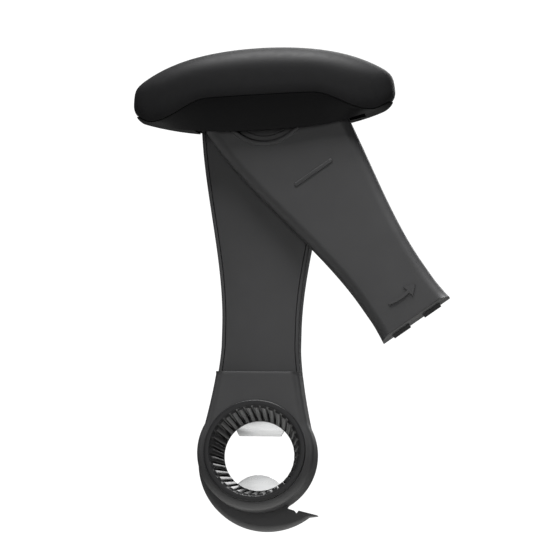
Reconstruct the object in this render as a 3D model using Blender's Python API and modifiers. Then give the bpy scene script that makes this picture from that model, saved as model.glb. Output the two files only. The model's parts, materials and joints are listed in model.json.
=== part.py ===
"""Office-chair armrest: a padded top on an upright arm with a toothed hub and a swing cover.

The world origin is on the hub's axis, at the rear face that sits against the chair. +X runs along
the pad, +Y points from the swing cover to the chair, and +Z is up. Everything is in metres.
Depths are Y values, so a more negative depth is nearer to whoever looks at the cover.
"""

import math

import bmesh
import bpy

# ---------------------------------------------------------------- driving dimensions

# The upright arm
ARM_LENGTH = 0.340            # hub axis to pad pivot
ARM_LEAN = math.radians(1.6)  # the arm's top leans towards +X
HEAD_HALF_WIDTH = 0.0640
WAIST_HALF_WIDTH = 0.0374
HEAD_TAPER = 0.218            # distance below the pivot over which the head narrows to the waist
HEAD_RISE = 0.020             # the head's top edge above the pivot
ARM_DEPTH = 0.022
ARM_WALL = 0.0032
FACE_THICKNESS = 0.003

# The hub at the arm's foot
HUB_RADIUS = 0.0564
HUB_DEPTH = 0.040
HUB_ROUNDING = 0.0085
COLLAR_TOP = 0.077            # the step between collar and arm, above the hub's axis
COLLAR_FLARE = 0.105          # height over which the waist widens to the hub
SPIGOT_RADIUS = 0.0492
SPIGOT_DEPTH = 0.012
SPIGOT_TOP = 0.040

# The toothed bush in the hub
BUSH_RADIUS = 0.0460
FLANGE_RADIUS = 0.0488
FLANGE_DEPTH = 0.0018
FLANGE_PROUD = 0.0020
TEETH = 36
BORE_ROOT_FRONT = 0.0435
BORE_TIP_FRONT = 0.0412
BORE_ROOT_REAR = 0.0378
BORE_TIP_REAR = 0.0340

# The key plate behind the bush
KEY_THICKNESS = 0.0022
KEY_OPENING = 0.0384
KEY_FLAT_HEIGHT = 0.0195
KEY_FLAT_HALF = 0.0203
KEY_BEVEL = 0.0030
KEY_ROUND_TOP = -0.0183
KEY_ROUND_RADIUS = 0.0280

# The stop claw round the hub's foot
CLAW_RADIUS = 0.0670
CLAW_CENTRE = (0.0085, -0.0060)
CLAW_TIP = (0.0585, -0.0576)

# The pad's pivot on the arm's head
BOSS_RADIUS = 0.0360
DISC_RADIUS = 0.0382
DISC_RECESS = 0.0030
PIVOT_BOLT_RADIUS = 0.0040
SLEEVE_WALL = 0.0017
TUBE_WALL = 0.005
SPINE_WIDTH = 0.034
SPINE_THICKNESS = 0.005

# The swing cover
COVER_OPEN = math.radians(35.6)  # how far it stands open at rest
COVER_DEPTH = 0.0177
COVER_WALL = 0.0025
COVER_ROUNDING = 0.0075
COVER_INSET = 0.0010          # the cover's outline inside the arm's
RING_WIDTH = 0.0043
RING_PROUD = 0.0012
SHOULDER_RISE = 0.010         # the closed cover's left shoulder above the pivot
SHOULDER_DROP = 0.025         # its right shoulder below the pivot, which clears the pad when open
BAR_LENGTH = 0.044
BAR_WIDTH = 0.0045
BAR_DROP = 0.085              # the bar's distance below the pivot
ARROW_DROP = 0.235
RELIEF = 0.0008               # how far the bar and the arrow stand proud
TAB_WIDTH = 0.019
TAB_CENTRE = 0.0175
TAB_REACH = 0.0034
TAB_THICKNESS = 0.003

# The padded top
PAD_LENGTH = 0.256
PAD_WIDTH = 0.088
PAD_SHIFT = -0.0025           # the pad's middle from the pivot, along X
PAD_DEPTH_CENTRE = -0.020
PAD_REST_TILT = math.radians(1.8)  # its right end stands this much higher
PAD_CROWN = 0.056             # the pad's highest point above the pivot
PAD_CROWN_SAG = 0.012         # how much lower the crown is 100 mm from the middle
PAD_SIDE_SAG = 0.006
PAD_BULGE = 0.25              # share of the pad's height at which it is widest
PARTING_MIDDLE = 0.0025       # the seam between pad and base above the pivot
PARTING_DIP = -0.0155         # where the seam dips towards the pad's ends
PARTING_TIP_RISE = 0.0085     # how much it climbs again at the very ends
KEEL_MIDDLE = -0.0295         # the base's underside above the pivot
KEEL_ENDS = -0.0115
KEEL_REAR_RISE = 0.009          # how much higher the keel is at the rear
KEEL_HALF_WIDTH = 0.027
BASE_WALL = 0.003
CARRIER_HEIGHT = 0.030        # the carrier plate's underside above the pivot
CARRIER_THICKNESS = 0.003
CARRIER_HALF_LENGTH = 0.096
CARRIER_HALF_WIDTH = 0.033
BRACKET_THICKNESS = 0.003
CHEEK_RADIUS = 0.020
CHEEK_FRONT = -0.0446         # outer depth of the bracket's front cheek
CHEEK_REAR = 0.0046           # outer depth of its rear cheek
PAD_TILT = math.radians(5.0)  # tilt that the slot leaves room for, each way

SCREW_SHAFT = 0.0020
SMALL_SHAFT = 0.0012

FIT = 0.0003                  # gap between pieces that touch
RUN = 0.0010                  # gap between pieces that move past each other

# Sizes that follow from these
ARM_FRONT = -ARM_DEPTH
HUB_FRONT = -HUB_DEPTH
BORE_RADIUS = BUSH_RADIUS + FIT
SLEEVE_RADIUS = PIVOT_BOLT_RADIUS + FIT + SLEEVE_WALL
COVER_BACK = ARM_FRONT - FIT
COVER_FRONT = COVER_BACK - COVER_DEPTH
RING_INNER = DISC_RADIUS + RUN / 2
RING_OUTER = RING_INNER + RING_WIDTH
DISC_FRONT = COVER_FRONT + DISC_RECESS
BOSS_FRONT = DISC_FRONT + 0.0062
CAVITY_TOP = CARRIER_HEIGHT + CARRIER_THICKNESS + FIT
PAD_HALF_LENGTH = PAD_LENGTH / 2
PAD_HALF_WIDTH = PAD_WIDTH / 2

CIRCLE_STEPS = 40
ARM_STEPS = 14                # straight pieces in each side of the arm and the cover


# ---------------------------------------------------------------- scene and helpers

def clear_scene():
    for item in list(bpy.data.objects):
        bpy.data.objects.remove(item, do_unlink=True)


def collection(name):
    made = bpy.data.collections.new(name)
    bpy.context.scene.collection.children.link(made)
    return made


def material(name, colour, roughness, metallic=0.0):
    made = bpy.data.materials.new(name)
    made.use_nodes = True
    shader = made.node_tree.nodes["Principled BSDF"]
    shader.inputs["Base Color"].default_value = (*colour, 1.0)
    shader.inputs["Roughness"].default_value = roughness
    shader.inputs["Metallic"].default_value = metallic
    return made


clear_scene()
PARTS = collection("chair_armrest")
CUTTERS = collection("cutters")

PLASTIC = material("matte_black_plastic", (0.018, 0.018, 0.019), 0.55)
RUBBERY = material("soft_black_foam", (0.010, 0.010, 0.011), 0.70)
BUSH_PLASTIC = material("bush_plastic", (0.010, 0.010, 0.010), 0.45)
ZINC = material("zinc_plated_steel", (0.80, 0.80, 0.78), 0.30, 1.0)
BLACK_STEEL = material("black_steel", (0.030, 0.030, 0.032), 0.40, 1.0)


def frame(name, location, turn, parent=None):
    """An empty that a group of pieces hangs on; turn is about the Y axis."""
    made = bpy.data.objects.new(name, None)
    PARTS.objects.link(made)
    made.parent = parent
    made.location = location
    made.rotation_euler = (0.0, turn, 0.0)
    return made


ARM = frame("arm_frame", (0, 0, 0), ARM_LEAN)
HEAD = frame("head_frame", (0, 0, ARM_LENGTH), 0.0, ARM)
COVER = frame("cover_swing_axis", (0, 0, 0), -COVER_OPEN, HEAD)
PAD = frame("pad_tilt_axis", (0, 0, 0), -ARM_LEAN - PAD_REST_TILT, HEAD)


def place(name, mesh, hang_on, finish=None):
    """Links a mesh as an object; without a finish it is a cutter or a joined-on shape."""
    made = bpy.data.objects.new(name, mesh)
    made.parent = hang_on
    if finish is None:
        CUTTERS.objects.link(made)
        made.hide_render = True
        made.display_type = "WIRE"
    else:
        PARTS.objects.link(made)
        mesh.materials.append(finish)
    return made


def tidy_mesh(mesh, sharp=35):
    """Welds a mesh, joins its flat faces, faces it outwards and shades it smooth."""
    work = bmesh.new()
    work.from_mesh(mesh)
    bmesh.ops.remove_doubles(work, verts=work.verts, dist=1e-6)
    bmesh.ops.dissolve_limit(work, angle_limit=math.radians(0.2), verts=work.verts, edges=work.edges)
    bmesh.ops.recalc_face_normals(work, faces=work.faces)
    work.to_mesh(mesh)
    work.free()
    mesh.shade_smooth()
    mesh.set_sharp_from_angle(angle=math.radians(sharp))
    return mesh


def plate(name, loops, front, back, hang_on, finish=None):
    """A flat outline of (x, z) points between two depths; further loops are its holes."""
    curve = bpy.data.curves.new(name, "CURVE")
    curve.dimensions = "2D"
    curve.fill_mode = "BOTH"
    curve.extrude = (back - front) / 2
    for loop in loops:
        spline = curve.splines.new("POLY")
        spline.points.add(len(loop) - 1)
        for point, (x, z) in zip(spline.points, loop):
            point.co = (x, z, 0.0, 1.0)
        spline.use_cyclic_u = True
    drawn = bpy.data.objects.new(name, curve)
    CUTTERS.objects.link(drawn)
    drawn.rotation_euler.x = math.pi / 2
    drawn.location.y = (front + back) / 2
    bpy.context.view_layer.update()
    graph = bpy.context.evaluated_depsgraph_get()
    mesh = bpy.data.meshes.new_from_object(drawn.evaluated_get(graph))
    mesh.transform(drawn.matrix_world)
    bpy.data.objects.remove(drawn)
    mesh.materials.clear()
    return place(name, tidy_mesh(mesh), hang_on, finish)


def turned(name, profile, at, hang_on, finish=None, steps=CIRCLE_STEPS, ring=False, upright=False):
    """A turned piece from (radius, height) points that run down its outer side.

    Heights count towards the viewer, or upwards where upright is set. at is its place.
    """
    mesh = bpy.data.meshes.new(name)
    points = [(radius, 0.0, height) for radius, height in profile]
    edges = [(i, i + 1) for i in range(len(points) - 1)]
    if ring:
        edges.append((len(points) - 1, 0))
    mesh.from_pydata(points, edges, [])
    made = place(name, mesh, hang_on, finish)
    made.location = at
    if not upright:
        made.rotation_euler.x = math.pi / 2
    screw = made.modifiers.new("Turn", "SCREW")
    screw.steps = steps
    screw.render_steps = steps
    screw.use_merge_vertices = True
    screw.merge_threshold = 1e-5
    screw.use_smooth_shade = True
    return made


def rod(name, radius, front, back, at, hang_on, finish=None, steps=24):
    """A round bar along Y between two depths, at a place (x, z)."""
    profile = [(0.0, -front), (radius, -front), (radius, -back), (0.0, -back)]
    return turned(name, profile, (at[0], 0.0, at[1]), hang_on, finish, steps)


def pipe(name, inner, outer, front, back, at, hang_on, finish=None, steps=CIRCLE_STEPS):
    """A round pipe along Y between two depths, at a place (x, z)."""
    profile = [(inner, -front), (outer, -front), (outer, -back), (inner, -back)]
    return turned(name, profile, (at[0], 0.0, at[1]), hang_on, finish, steps, ring=True)


def box(name, low, high, hang_on, finish=None):
    """A block between two corners."""
    work = bmesh.new()
    bmesh.ops.create_cube(work, size=1.0)
    for vert in work.verts:
        vert.co = [(low[k] + high[k]) / 2 + vert.co[k] * (high[k] - low[k]) for k in range(3)]
    mesh = bpy.data.meshes.new(name)
    work.to_mesh(mesh)
    work.free()
    return place(name, mesh, hang_on, finish)


def lofted(name, loops, hang_on, finish=None, ring=False, caps=True, sharp=35):
    """Skins a run of equal loops of points; ring joins the last loop to the first."""
    work = bmesh.new()
    rows = [[work.verts.new(point) for point in loop] for loop in loops]
    count = len(loops[0])
    pairs = list(zip(rows, rows[1:]))
    if ring:
        pairs.append((rows[-1], rows[0]))
    for low, high in pairs:
        for i in range(count):
            j = (i + 1) % count
            work.faces.new((low[i], low[j], high[j], high[i]))
    if caps and not ring:
        for row in (rows[0], rows[-1]):
            for i in range(count // 2 - 1):
                quad = (row[i], row[i + 1], row[count - 2 - i], row[count - 1 - i])
                if len(set(quad)) == 4:
                    work.faces.new(quad)
    bmesh.ops.recalc_face_normals(work, faces=work.faces)
    mesh = bpy.data.meshes.new(name)
    work.to_mesh(mesh)
    work.free()
    mesh.shade_smooth()
    mesh.set_sharp_from_angle(angle=math.radians(sharp))
    return place(name, mesh, hang_on, finish)


def boolean(target, tool, operation="DIFFERENCE"):
    step = target.modifiers.new(tool.name, "BOOLEAN")
    step.operation = operation
    step.solver = "EXACT"
    step.object = tool


def cut_all(target, tools):
    """Takes several cutters from a piece in one step, which keeps its surface closed."""
    group = bpy.data.collections.new(f"{target.name}_cuts")
    CUTTERS.children.link(group)
    for tool in tools:
        group.objects.link(tool)
    step = target.modifiers.new("Cuts", "BOOLEAN")
    step.operation = "DIFFERENCE"
    step.solver = "EXACT"
    step.operand_type = "COLLECTION"
    step.collection = group


def round_front(target, depth, width, segments=3, below=None):
    """Rounds the edges of the face at one depth; below limits it to edges under a height."""
    mesh = target.data
    weights = mesh.attributes.new("bevel_weight_edge", "FLOAT", "EDGE")
    for edge in mesh.edges:
        ends = [mesh.vertices[i].co for i in edge.vertices]
        on_face = all(abs(end.y - depth) < 1e-6 for end in ends)
        under = below is None or any(end.z < below - 1e-6 for end in ends)
        weights.data[edge.index].value = 1.0 if on_face and under else 0.0
    bevel = target.modifiers.new("Rounding", "BEVEL")
    bevel.limit_method = "WEIGHT"
    bevel.width = width
    bevel.segments = segments
    bevel.use_clamp_overlap = False
    bevel.loop_slide = False


def arc(centre, radius, start, end, steps):
    """Points on a circle from one angle to another, in degrees from +X."""
    angles = [math.radians(start + (end - start) * i / steps) for i in range(steps + 1)]
    return [(centre[0] + radius * math.cos(a), centre[1] + radius * math.sin(a)) for a in angles]


def circle(centre, radius, steps=CIRCLE_STEPS):
    return arc(centre, radius, 0.0, 360.0, steps)[:-1]


def mirrored(points):
    """The points' mirror image in X, in reverse order, so that the two join into an outline."""
    return [(-x, z) for x, z in reversed(points)]


def smooth_share(value):
    value = min(1.0, max(0.0, value))
    return value * value * (3.0 - 2.0 * value)


def screw_piece(name, at, hang_on, shaft, length, head, head_height, seat, steps=12, upright=False):
    """A button-head screw whose head's underside is at seat and whose shaft runs away from it."""
    profile = [
        (0.0, seat + head_height * 0.5),
        (head * 0.45, seat + head_height),
        (head * 0.75, seat + head_height),
        (head, seat + head_height * 0.5),
        (head, seat),
        (shaft, seat),
        (shaft, seat - length),
        (0.0, seat - length),
    ]
    return turned(name, profile, at, hang_on, BLACK_STEEL, steps, upright=upright)


# ---------------------------------------------------------------- outlines

def arm_half_width(height):
    """Half the arm's width at a height above the hub's axis."""
    narrowing = smooth_share((ARM_LENGTH - height) / HEAD_TAPER)
    flare = min(1.0, max(0.0, (COLLAR_FLARE - height) / COLLAR_FLARE))
    width = HEAD_HALF_WIDTH + (WAIST_HALF_WIDTH - HEAD_HALF_WIDTH) * narrowing
    width += (HUB_RADIUS - WAIST_HALF_WIDTH) * flare ** 1.5
    hub = math.sqrt(max(0.0, HUB_RADIUS ** 2 - height ** 2))
    return max(width, hub)


def arm_side(low, high, steps, inset=0.0):
    """The arm's right side from a low height up to a high one."""
    heights = [low + (high - low) * i / steps for i in range(steps + 1)]
    return [(arm_half_width(z) - inset, z) for z in heights]


# The closed cover's foot below the pivot: its corners just swing clear of the collar.
COVER_FOOT = -math.sqrt((ARM_LENGTH - COLLAR_TOP - RUN / 2) ** 2 - arm_half_width(COLLAR_TOP) ** 2)
TAB_FRONT = COVER_FRONT + COVER_WALL + 0.003
TAB_SWEEP = math.hypot(COVER_FOOT - TAB_REACH, TAB_CENTRE + TAB_WIDTH / 2)


# ---------------------------------------------------------------- the upright arm

def make_arm_shell():
    low = COLLAR_TOP + FIT
    high = ARM_LENGTH + HEAD_RISE
    side = arm_side(low, high, ARM_STEPS)
    shell = plate("arm_shell", [side + mirrored(side)], ARM_FRONT, 0.0, ARM, PLASTIC)
    inside = arm_side(low - RUN, high - ARM_WALL, ARM_STEPS, ARM_WALL)
    pocket = plate("arm_pocket", [inside + mirrored(inside)], ARM_FRONT - RUN, -ARM_WALL, ARM)
    boolean(shell, pocket)
    tube = pipe("arm_pivot_tube", SLEEVE_RADIUS + FIT, SLEEVE_RADIUS + TUBE_WALL,
                ARM_FRONT + FACE_THICKNESS + FIT, -ARM_WALL / 2, (0, 0), HEAD)
    boolean(shell, tube, "UNION")
    cuts = [rod("arm_pivot_hole", SLEEVE_RADIUS + FIT, ARM_FRONT - RUN, RUN, (0, 0), HEAD)]
    for index, height in enumerate(SHELL_SCREW_HEIGHTS):
        cuts.append(rod(f"shell_screw_hole_{index}", SCREW_SHAFT + 2 * FIT, -0.006, RUN, (0, height), ARM))
    cut_all(shell, cuts)


def make_arm_face():
    low = COLLAR_TOP + 2 * FIT
    high = ARM_LENGTH + HEAD_RISE - ARM_WALL - FIT
    side = arm_side(low, high, ARM_STEPS, ARM_WALL + FIT)
    face = plate("arm_face", [side + mirrored(side)], ARM_FRONT, ARM_FRONT + FACE_THICKNESS, ARM,
                 PLASTIC)
    cut_all(face, [rod("face_pivot_hole", SLEEVE_RADIUS + FIT, ARM_FRONT - RUN, ARM_FRONT + 0.01,
                       (0, 0), HEAD)])


def make_arm_spine():
    """The steel flat that ties the pad's pivot to the hub."""
    low = COLLAR_TOP - SPINE_TENON + FIT
    high = ARM_LENGTH + HEAD_RISE * 0.8
    half = SPINE_WIDTH / 2
    outline = [(half, low), (half, high), (-half, high), (-half, low)]
    spine = plate("arm_spine", [outline], SPINE_FRONT, SPINE_FRONT + SPINE_THICKNESS, ARM, ZINC)
    cuts = [rod("spine_pivot_hole", SLEEVE_RADIUS + TUBE_WALL + FIT, -0.03, RUN, (0, 0), HEAD)]
    places = [(0, height) for height in SHELL_SCREW_HEIGHTS]
    places += [(x, TENON_SCREW_HEIGHT) for x in TENON_SCREW_PLACES]
    for index, at in enumerate(places):
        cuts.append(rod(f"spine_tapping_{index}", SCREW_SHAFT + FIT, -0.03, RUN, at, ARM, steps=12))
    cut_all(spine, cuts)


def make_arm_screws():
    for index, height in enumerate(SHELL_SCREW_HEIGHTS):
        rear_screw(f"shell_screw_{index + 1}", (0, height), SCREW_SHAFT, 0.0085, 0.0038, 0.0020, FIT)
    for index, x in enumerate(TENON_SCREW_PLACES):
        rear_screw(f"spine_screw_{index + 1}", (x, TENON_SCREW_HEIGHT), SCREW_SHAFT, 0.0110, 0.0038,
                   0.0020, FIT - TENON_SINK)


def rear_screw(name, at, shaft, length, head, head_height, seat):
    """A screw that goes in from the rear; seat is the depth of the face under its head."""
    made = screw_piece(name, (at[0], 0.0, at[1]), ARM, shaft, length, head, head_height, seat)
    made.rotation_euler.x = -math.pi / 2
    return made


SPINE_FRONT = -ARM_WALL - 2 * FIT - SPINE_THICKNESS
TENON_SINK = 0.0025
SPINE_TENON = 0.0185          # how far the spine reaches into the hub's collar
TENON_SCREW_HEIGHT = COLLAR_TOP - 0.009
TENON_SCREW_PLACES = (-0.009, 0.009)
SHELL_SCREW_HEIGHTS = (COLLAR_TOP + 0.045, ARM_LENGTH - 0.095)


# ---------------------------------------------------------------- the hub

def make_hub_housing():
    side = arm_side(0.0, COLLAR_TOP, 14)
    foot = arc((0, 0), HUB_RADIUS, 180.0, 360.0, 30)
    outline = foot[:-1] + side + mirrored(side)[:-1]
    housing = plate("hub_housing", [outline], HUB_FRONT, 0.0, ARM, PLASTIC)
    round_front(housing, HUB_FRONT, HUB_ROUNDING, 4, below=COLLAR_TOP)
    corner = math.sqrt(SPIGOT_RADIUS ** 2 - SPIGOT_TOP ** 2)
    start = math.degrees(math.atan2(SPIGOT_TOP, corner))
    around = arc((0, 0), SPIGOT_RADIUS, start, -180.0 - start, 48)
    reach = HUB_RADIUS * 1.5
    yoke = around + [(-reach, SPIGOT_TOP), (-reach, -reach), (reach, -reach), (reach, SPIGOT_TOP)]
    boolean(housing, plate("yoke_room", [yoke], -SPIGOT_DEPTH, RUN, ARM))
    seat = -HUB_FRONT - FLANGE_DEPTH
    far = -HUB_FRONT + 0.01
    bore = [(0.0, far), (FLANGE_RADIUS + FIT, far), (FLANGE_RADIUS + FIT, seat), (BORE_RADIUS, seat),
            (BORE_RADIUS, -0.01), (0.0, -0.01)]
    cuts = [turned("bush_bore", bore, (0, 0, 0), ARM, steps=HUB_STEPS)]
    half = SPINE_WIDTH / 2 + FIT
    slot = box("spine_slot", (-half, SPINE_FRONT - FIT, COLLAR_TOP - SPINE_TENON),
               (half, SPINE_FRONT + SPINE_THICKNESS + FIT, COLLAR_TOP + RUN), ARM)
    cuts.append(slot)
    tab_room = box("tab_room", (-TAB_CENTRE - TAB_WIDTH / 2 - RUN, TAB_FRONT - RUN, ARM_LENGTH - TAB_SWEEP - RUN),
                   (HUB_RADIUS, TAB_FRONT + TAB_THICKNESS + RUN, COLLAR_TOP + RUN), ARM)
    cuts.append(tab_room)
    for index, x in enumerate(TENON_SCREW_PLACES):
        cuts.append(sunk_hole(f"tenon_hole_{index}", (x, TENON_SCREW_HEIGHT), SCREW_SHAFT + FIT, 0.0140,
                              0.0038 + FIT, TENON_SINK))
    for index, at in enumerate(ring_places(CLAW_SCREW_RADIUS, CLAW_SCREW_ANGLES)):
        cuts.append(rod(f"claw_tapping_{index}", SMALL_SHAFT + FIT, -0.0185, RUN, at, ARM, steps=12))
    cut_all(housing, cuts)


def sunk_hole(name, at, radius, depth, sink_radius, sink, steps=12):
    """A cutter for a rear screw: a hole whose mouth is widened for the screw's head."""
    profile = [(0.0, depth), (radius, depth), (radius, sink), (sink_radius, sink),
               (sink_radius, -RUN), (0.0, -RUN)]
    return turned(name, profile, (at[0], 0.0, at[1]), ARM, steps=steps)


def ring_places(radius, angles):
    return [(radius * math.cos(math.radians(a)), radius * math.sin(math.radians(a))) for a in angles]


CLAW_SINK = 0.0030
CLAW_SCREW_RADIUS = 0.0530
CLAW_SCREW_ANGLES = (0.0, 180.0, 270.0)
KEY_SCREW_RADIUS = 0.0423
KEY_SCREW_ANGLES = (30.0, 150.0, 270.0)
HUB_STEPS = 64


def toothed_loop(tip, root, depth):
    """One ring of the bush's teeth: a trapezoid tooth in each pitch, four points to a tooth."""
    points = []
    pitch = 360.0 / TEETH
    for tooth in range(TEETH):
        for share, radius in ((-0.17, tip), (0.17, tip), (0.33, root), (0.67, root)):
            angle = math.radians((tooth + share) * pitch)
            points.append((radius * math.cos(angle), depth, radius * math.sin(angle)))
    return points


def make_toothed_bush():
    """A flanged bush whose tapered bore has teeth, so that it locks on the chair's cone."""
    front = HUB_FRONT - FLANGE_PROUD
    seat = HUB_FRONT + FLANGE_DEPTH - FIT
    rear = -KEY_THICKNESS - 2 * FIT
    lip = 0.0016
    profile = [
        (BUSH_RADIUS, rear),
        (BUSH_RADIUS, seat),
        (FLANGE_RADIUS, seat),
        (FLANGE_RADIUS, front + lip),
        (FLANGE_RADIUS - lip, front),
        (BORE_ROOT_FRONT + lip, front),
    ]
    loops = [toothed_loop(radius, radius, depth) for radius, depth in profile]
    loops.append(toothed_loop(BORE_ROOT_FRONT, BORE_ROOT_FRONT, front + 2 * lip))
    loops.append(toothed_loop(BORE_TIP_FRONT, BORE_ROOT_FRONT - lip / 4, front + 4 * lip))
    loops.append(toothed_loop(BORE_TIP_REAR, BORE_ROOT_REAR, rear))
    bush = lofted("toothed_bush", loops, ARM, BUSH_PLASTIC, ring=True, sharp=25)
    places = ring_places(KEY_SCREW_RADIUS, KEY_SCREW_ANGLES)
    cut_all(bush, [rod(f"key_tapping_{index}", SMALL_SHAFT + FIT, -0.0120, RUN, at, ARM, steps=12)
                   for index, at in enumerate(places)])


def make_key_plate():
    """The steel plate behind the teeth; its flat and its round tab key the arm to the chair."""
    side = math.sqrt(KEY_OPENING ** 2 - (KEY_FLAT_HALF + 1.4 * KEY_BEVEL) ** 2)
    flat = [
        (KEY_FLAT_HALF + 1.4 * KEY_BEVEL, side),
        (KEY_FLAT_HALF + KEY_BEVEL * 0.8, KEY_FLAT_HEIGHT + KEY_BEVEL * 1.4),
        (KEY_FLAT_HALF, KEY_FLAT_HEIGHT),
    ]
    centre = KEY_ROUND_TOP - KEY_ROUND_RADIUS
    meet = (KEY_OPENING ** 2 - KEY_ROUND_RADIUS ** 2 + centre ** 2) / (2 * centre)
    reach = math.sqrt(KEY_OPENING ** 2 - meet ** 2)
    low = math.degrees(math.atan2(meet, reach))
    high = math.degrees(math.atan2(flat[0][1], flat[0][0]))
    spread = math.degrees(math.atan2(meet - centre, reach))
    opening = arc((0, 0), KEY_OPENING, low, high, 12) + flat[1:]
    opening += mirrored(opening)
    opening += arc((0, centre), KEY_ROUND_RADIUS, 180.0 - spread, spread, 14)[1:-1]
    holes = [circle(at, 0.0012 + FIT, 12) for at in ring_places(KEY_SCREW_RADIUS, KEY_SCREW_ANGLES)]
    plate("key_plate", [circle((0, 0), BUSH_RADIUS - FIT, 64), opening] + holes,
          -KEY_THICKNESS - FIT, -FIT, ARM, ZINC)


def make_stop_claw():
    """A yoke round the hub's rear spigot that ends in a pointed, notched claw."""
    top = SPIGOT_TOP - FIT
    inner = SPIGOT_RADIUS + FIT
    start = math.degrees(math.asin(top / inner))
    cradle = arc((0, 0), inner, 180.0 + start * -1.0, 360.0 + start, 48)
    right = list(reversed(arm_side(0.0, top, 8)))
    ring = arc((0, 0), HUB_RADIUS, 0.0, -58.0, 12)[1:]
    mouth = [(0.0283, -0.0500), (0.0308, -0.0517), (0.0361, -0.0533), (0.0384, -0.0561), (0.0404, -0.0533), CLAW_TIP]
    tip_angle = math.degrees(math.atan2(CLAW_TIP[1] - CLAW_CENTRE[1], CLAW_TIP[0] - CLAW_CENTRE[0]))
    crescent = arc(CLAW_CENTRE, CLAW_RADIUS, tip_angle - 6.0, -210.0, 34)
    left = [point for point in mirrored(arm_side(0.0, top, 8))[::-1] if point[1] > 0.031]
    outline = right + ring + mouth + crescent + left + cradle
    claw = plate("stop_claw", [outline], -SPIGOT_DEPTH + FIT, 0.0, ARM, PLASTIC)
    places = ring_places(CLAW_SCREW_RADIUS, CLAW_SCREW_ANGLES)
    cut_all(claw, [sunk_hole(f"claw_hole_{index}", at, SMALL_SHAFT + FIT, 0.02, 0.0023 + FIT, CLAW_SINK)
                   for index, at in enumerate(places)])


def make_hub_screws():
    for index, at in enumerate(ring_places(CLAW_SCREW_RADIUS, CLAW_SCREW_ANGLES)):
        rear_screw(f"claw_screw_{index + 1}", at, SMALL_SHAFT, 0.0130, 0.0023, 0.0020, FIT - CLAW_SINK)
    for index, at in enumerate(ring_places(KEY_SCREW_RADIUS, KEY_SCREW_ANGLES)):
        rear_screw(f"key_screw_{index + 1}", at, SMALL_SHAFT, 0.0090, 0.0023, 0.0015, 0.0)


# ---------------------------------------------------------------- the pivot on the arm's head

def make_pivot():
    hub = pipe("boss_hub", SLEEVE_RADIUS + FIT, BOSS_RADIUS, BOSS_FRONT + FIT, ARM_FRONT - FIT,
               (0, 0), HEAD, PLASTIC)
    profile = [
        (SLEEVE_RADIUS + FIT, -DISC_FRONT),
        (DISC_RADIUS - 0.002, -DISC_FRONT),
        (DISC_RADIUS, -DISC_FRONT - 0.002),
        (DISC_RADIUS, -BOSS_FRONT),
        (SLEEVE_RADIUS + FIT, -BOSS_FRONT),
    ]
    disc = turned("boss_disc", profile, (0, 0, 0), HEAD, PLASTIC, ring=True)
    reach = DISC_RADIUS + RUN
    holes = [box("boss_flat", (-reach, CHEEK_FRONT, HEAD_RISE), (reach, 0.0, reach), HEAD)]
    for index, at in enumerate(ring_places(BOSS_SCREW_RADIUS, BOSS_SCREW_ANGLES)):
        holes.append(rod(f"boss_hole_{index}", SCREW_SHAFT + FIT, -0.05, 0.0, at, HEAD, steps=12))
        screw_piece(f"boss_screw_{index + 1}", (at[0], 0.0, at[1]), HEAD, SCREW_SHAFT, 0.012, 0.0034,
                    0.0020, -DISC_FRONT + FIT)
    cut_all(disc, holes)
    cut_all(hub, holes)
    front = CHEEK_FRONT + BRACKET_THICKNESS + FIT
    pipe("pivot_sleeve", PIVOT_BOLT_RADIUS + FIT, SLEEVE_RADIUS, front, 0.0, (0, 0), HEAD, ZINC, 32)
    pipe("friction_washer_front", SLEEVE_RADIUS + FIT, 0.0140, front, DISC_FRONT - FIT, (0, 0), HEAD,
         ZINC, 40)
    rear = CHEEK_REAR - BRACKET_THICKNESS - FIT
    pipe("friction_washer_rear", SLEEVE_RADIUS + FIT, 0.0140, FIT, rear, (0, 0), HEAD, ZINC, 40)
    head = -CHEEK_FRONT + FIT
    bolt_end = -CHEEK_REAR - 0.0085
    profile = [
        (0.0, head + 0.0030),
        (0.0030, head + 0.0030),
        (0.0036, head + 0.0045),
        (0.0065, head + 0.0045),
        (0.0080, head + 0.0030),
        (0.0080, head),
        (PIVOT_BOLT_RADIUS, head),
        (PIVOT_BOLT_RADIUS, bolt_end + 0.001),
        (PIVOT_BOLT_RADIUS - 0.001, bolt_end),
        (0.0, bolt_end),
    ]
    turned("pivot_bolt", profile, (0, 0, 0), HEAD, BLACK_STEEL, 24)
    nut_front = CHEEK_REAR + FIT
    corners = circle((0, 0), 0.0075, 6)
    plate("pivot_nut", [corners, circle((0, 0), PIVOT_BOLT_RADIUS + FIT, 24)], nut_front,
          nut_front + 0.0065, HEAD, ZINC)


BOSS_SCREW_RADIUS = 0.0240
BOSS_SCREW_ANGLES = (0.0, 180.0, 270.0)


# ---------------------------------------------------------------- the swing cover

def cover_side(low, high, steps, inset):
    """The cover's right side in its own frame, whose origin is the pivot; heights are negative."""
    side = arm_side(ARM_LENGTH + low, ARM_LENGTH + high, steps, inset)
    return [(x, z - ARM_LENGTH) for x, z in side]


def stadium(centre, length, width, steps=6):
    """A bar with round ends along X."""
    half = length / 2 - width / 2
    right = arc((centre[0] + half, centre[1]), width / 2, -90.0, 90.0, steps)
    left = arc((centre[0] - half, centre[1]), width / 2, 90.0, 270.0, steps)
    return right + left


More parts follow.
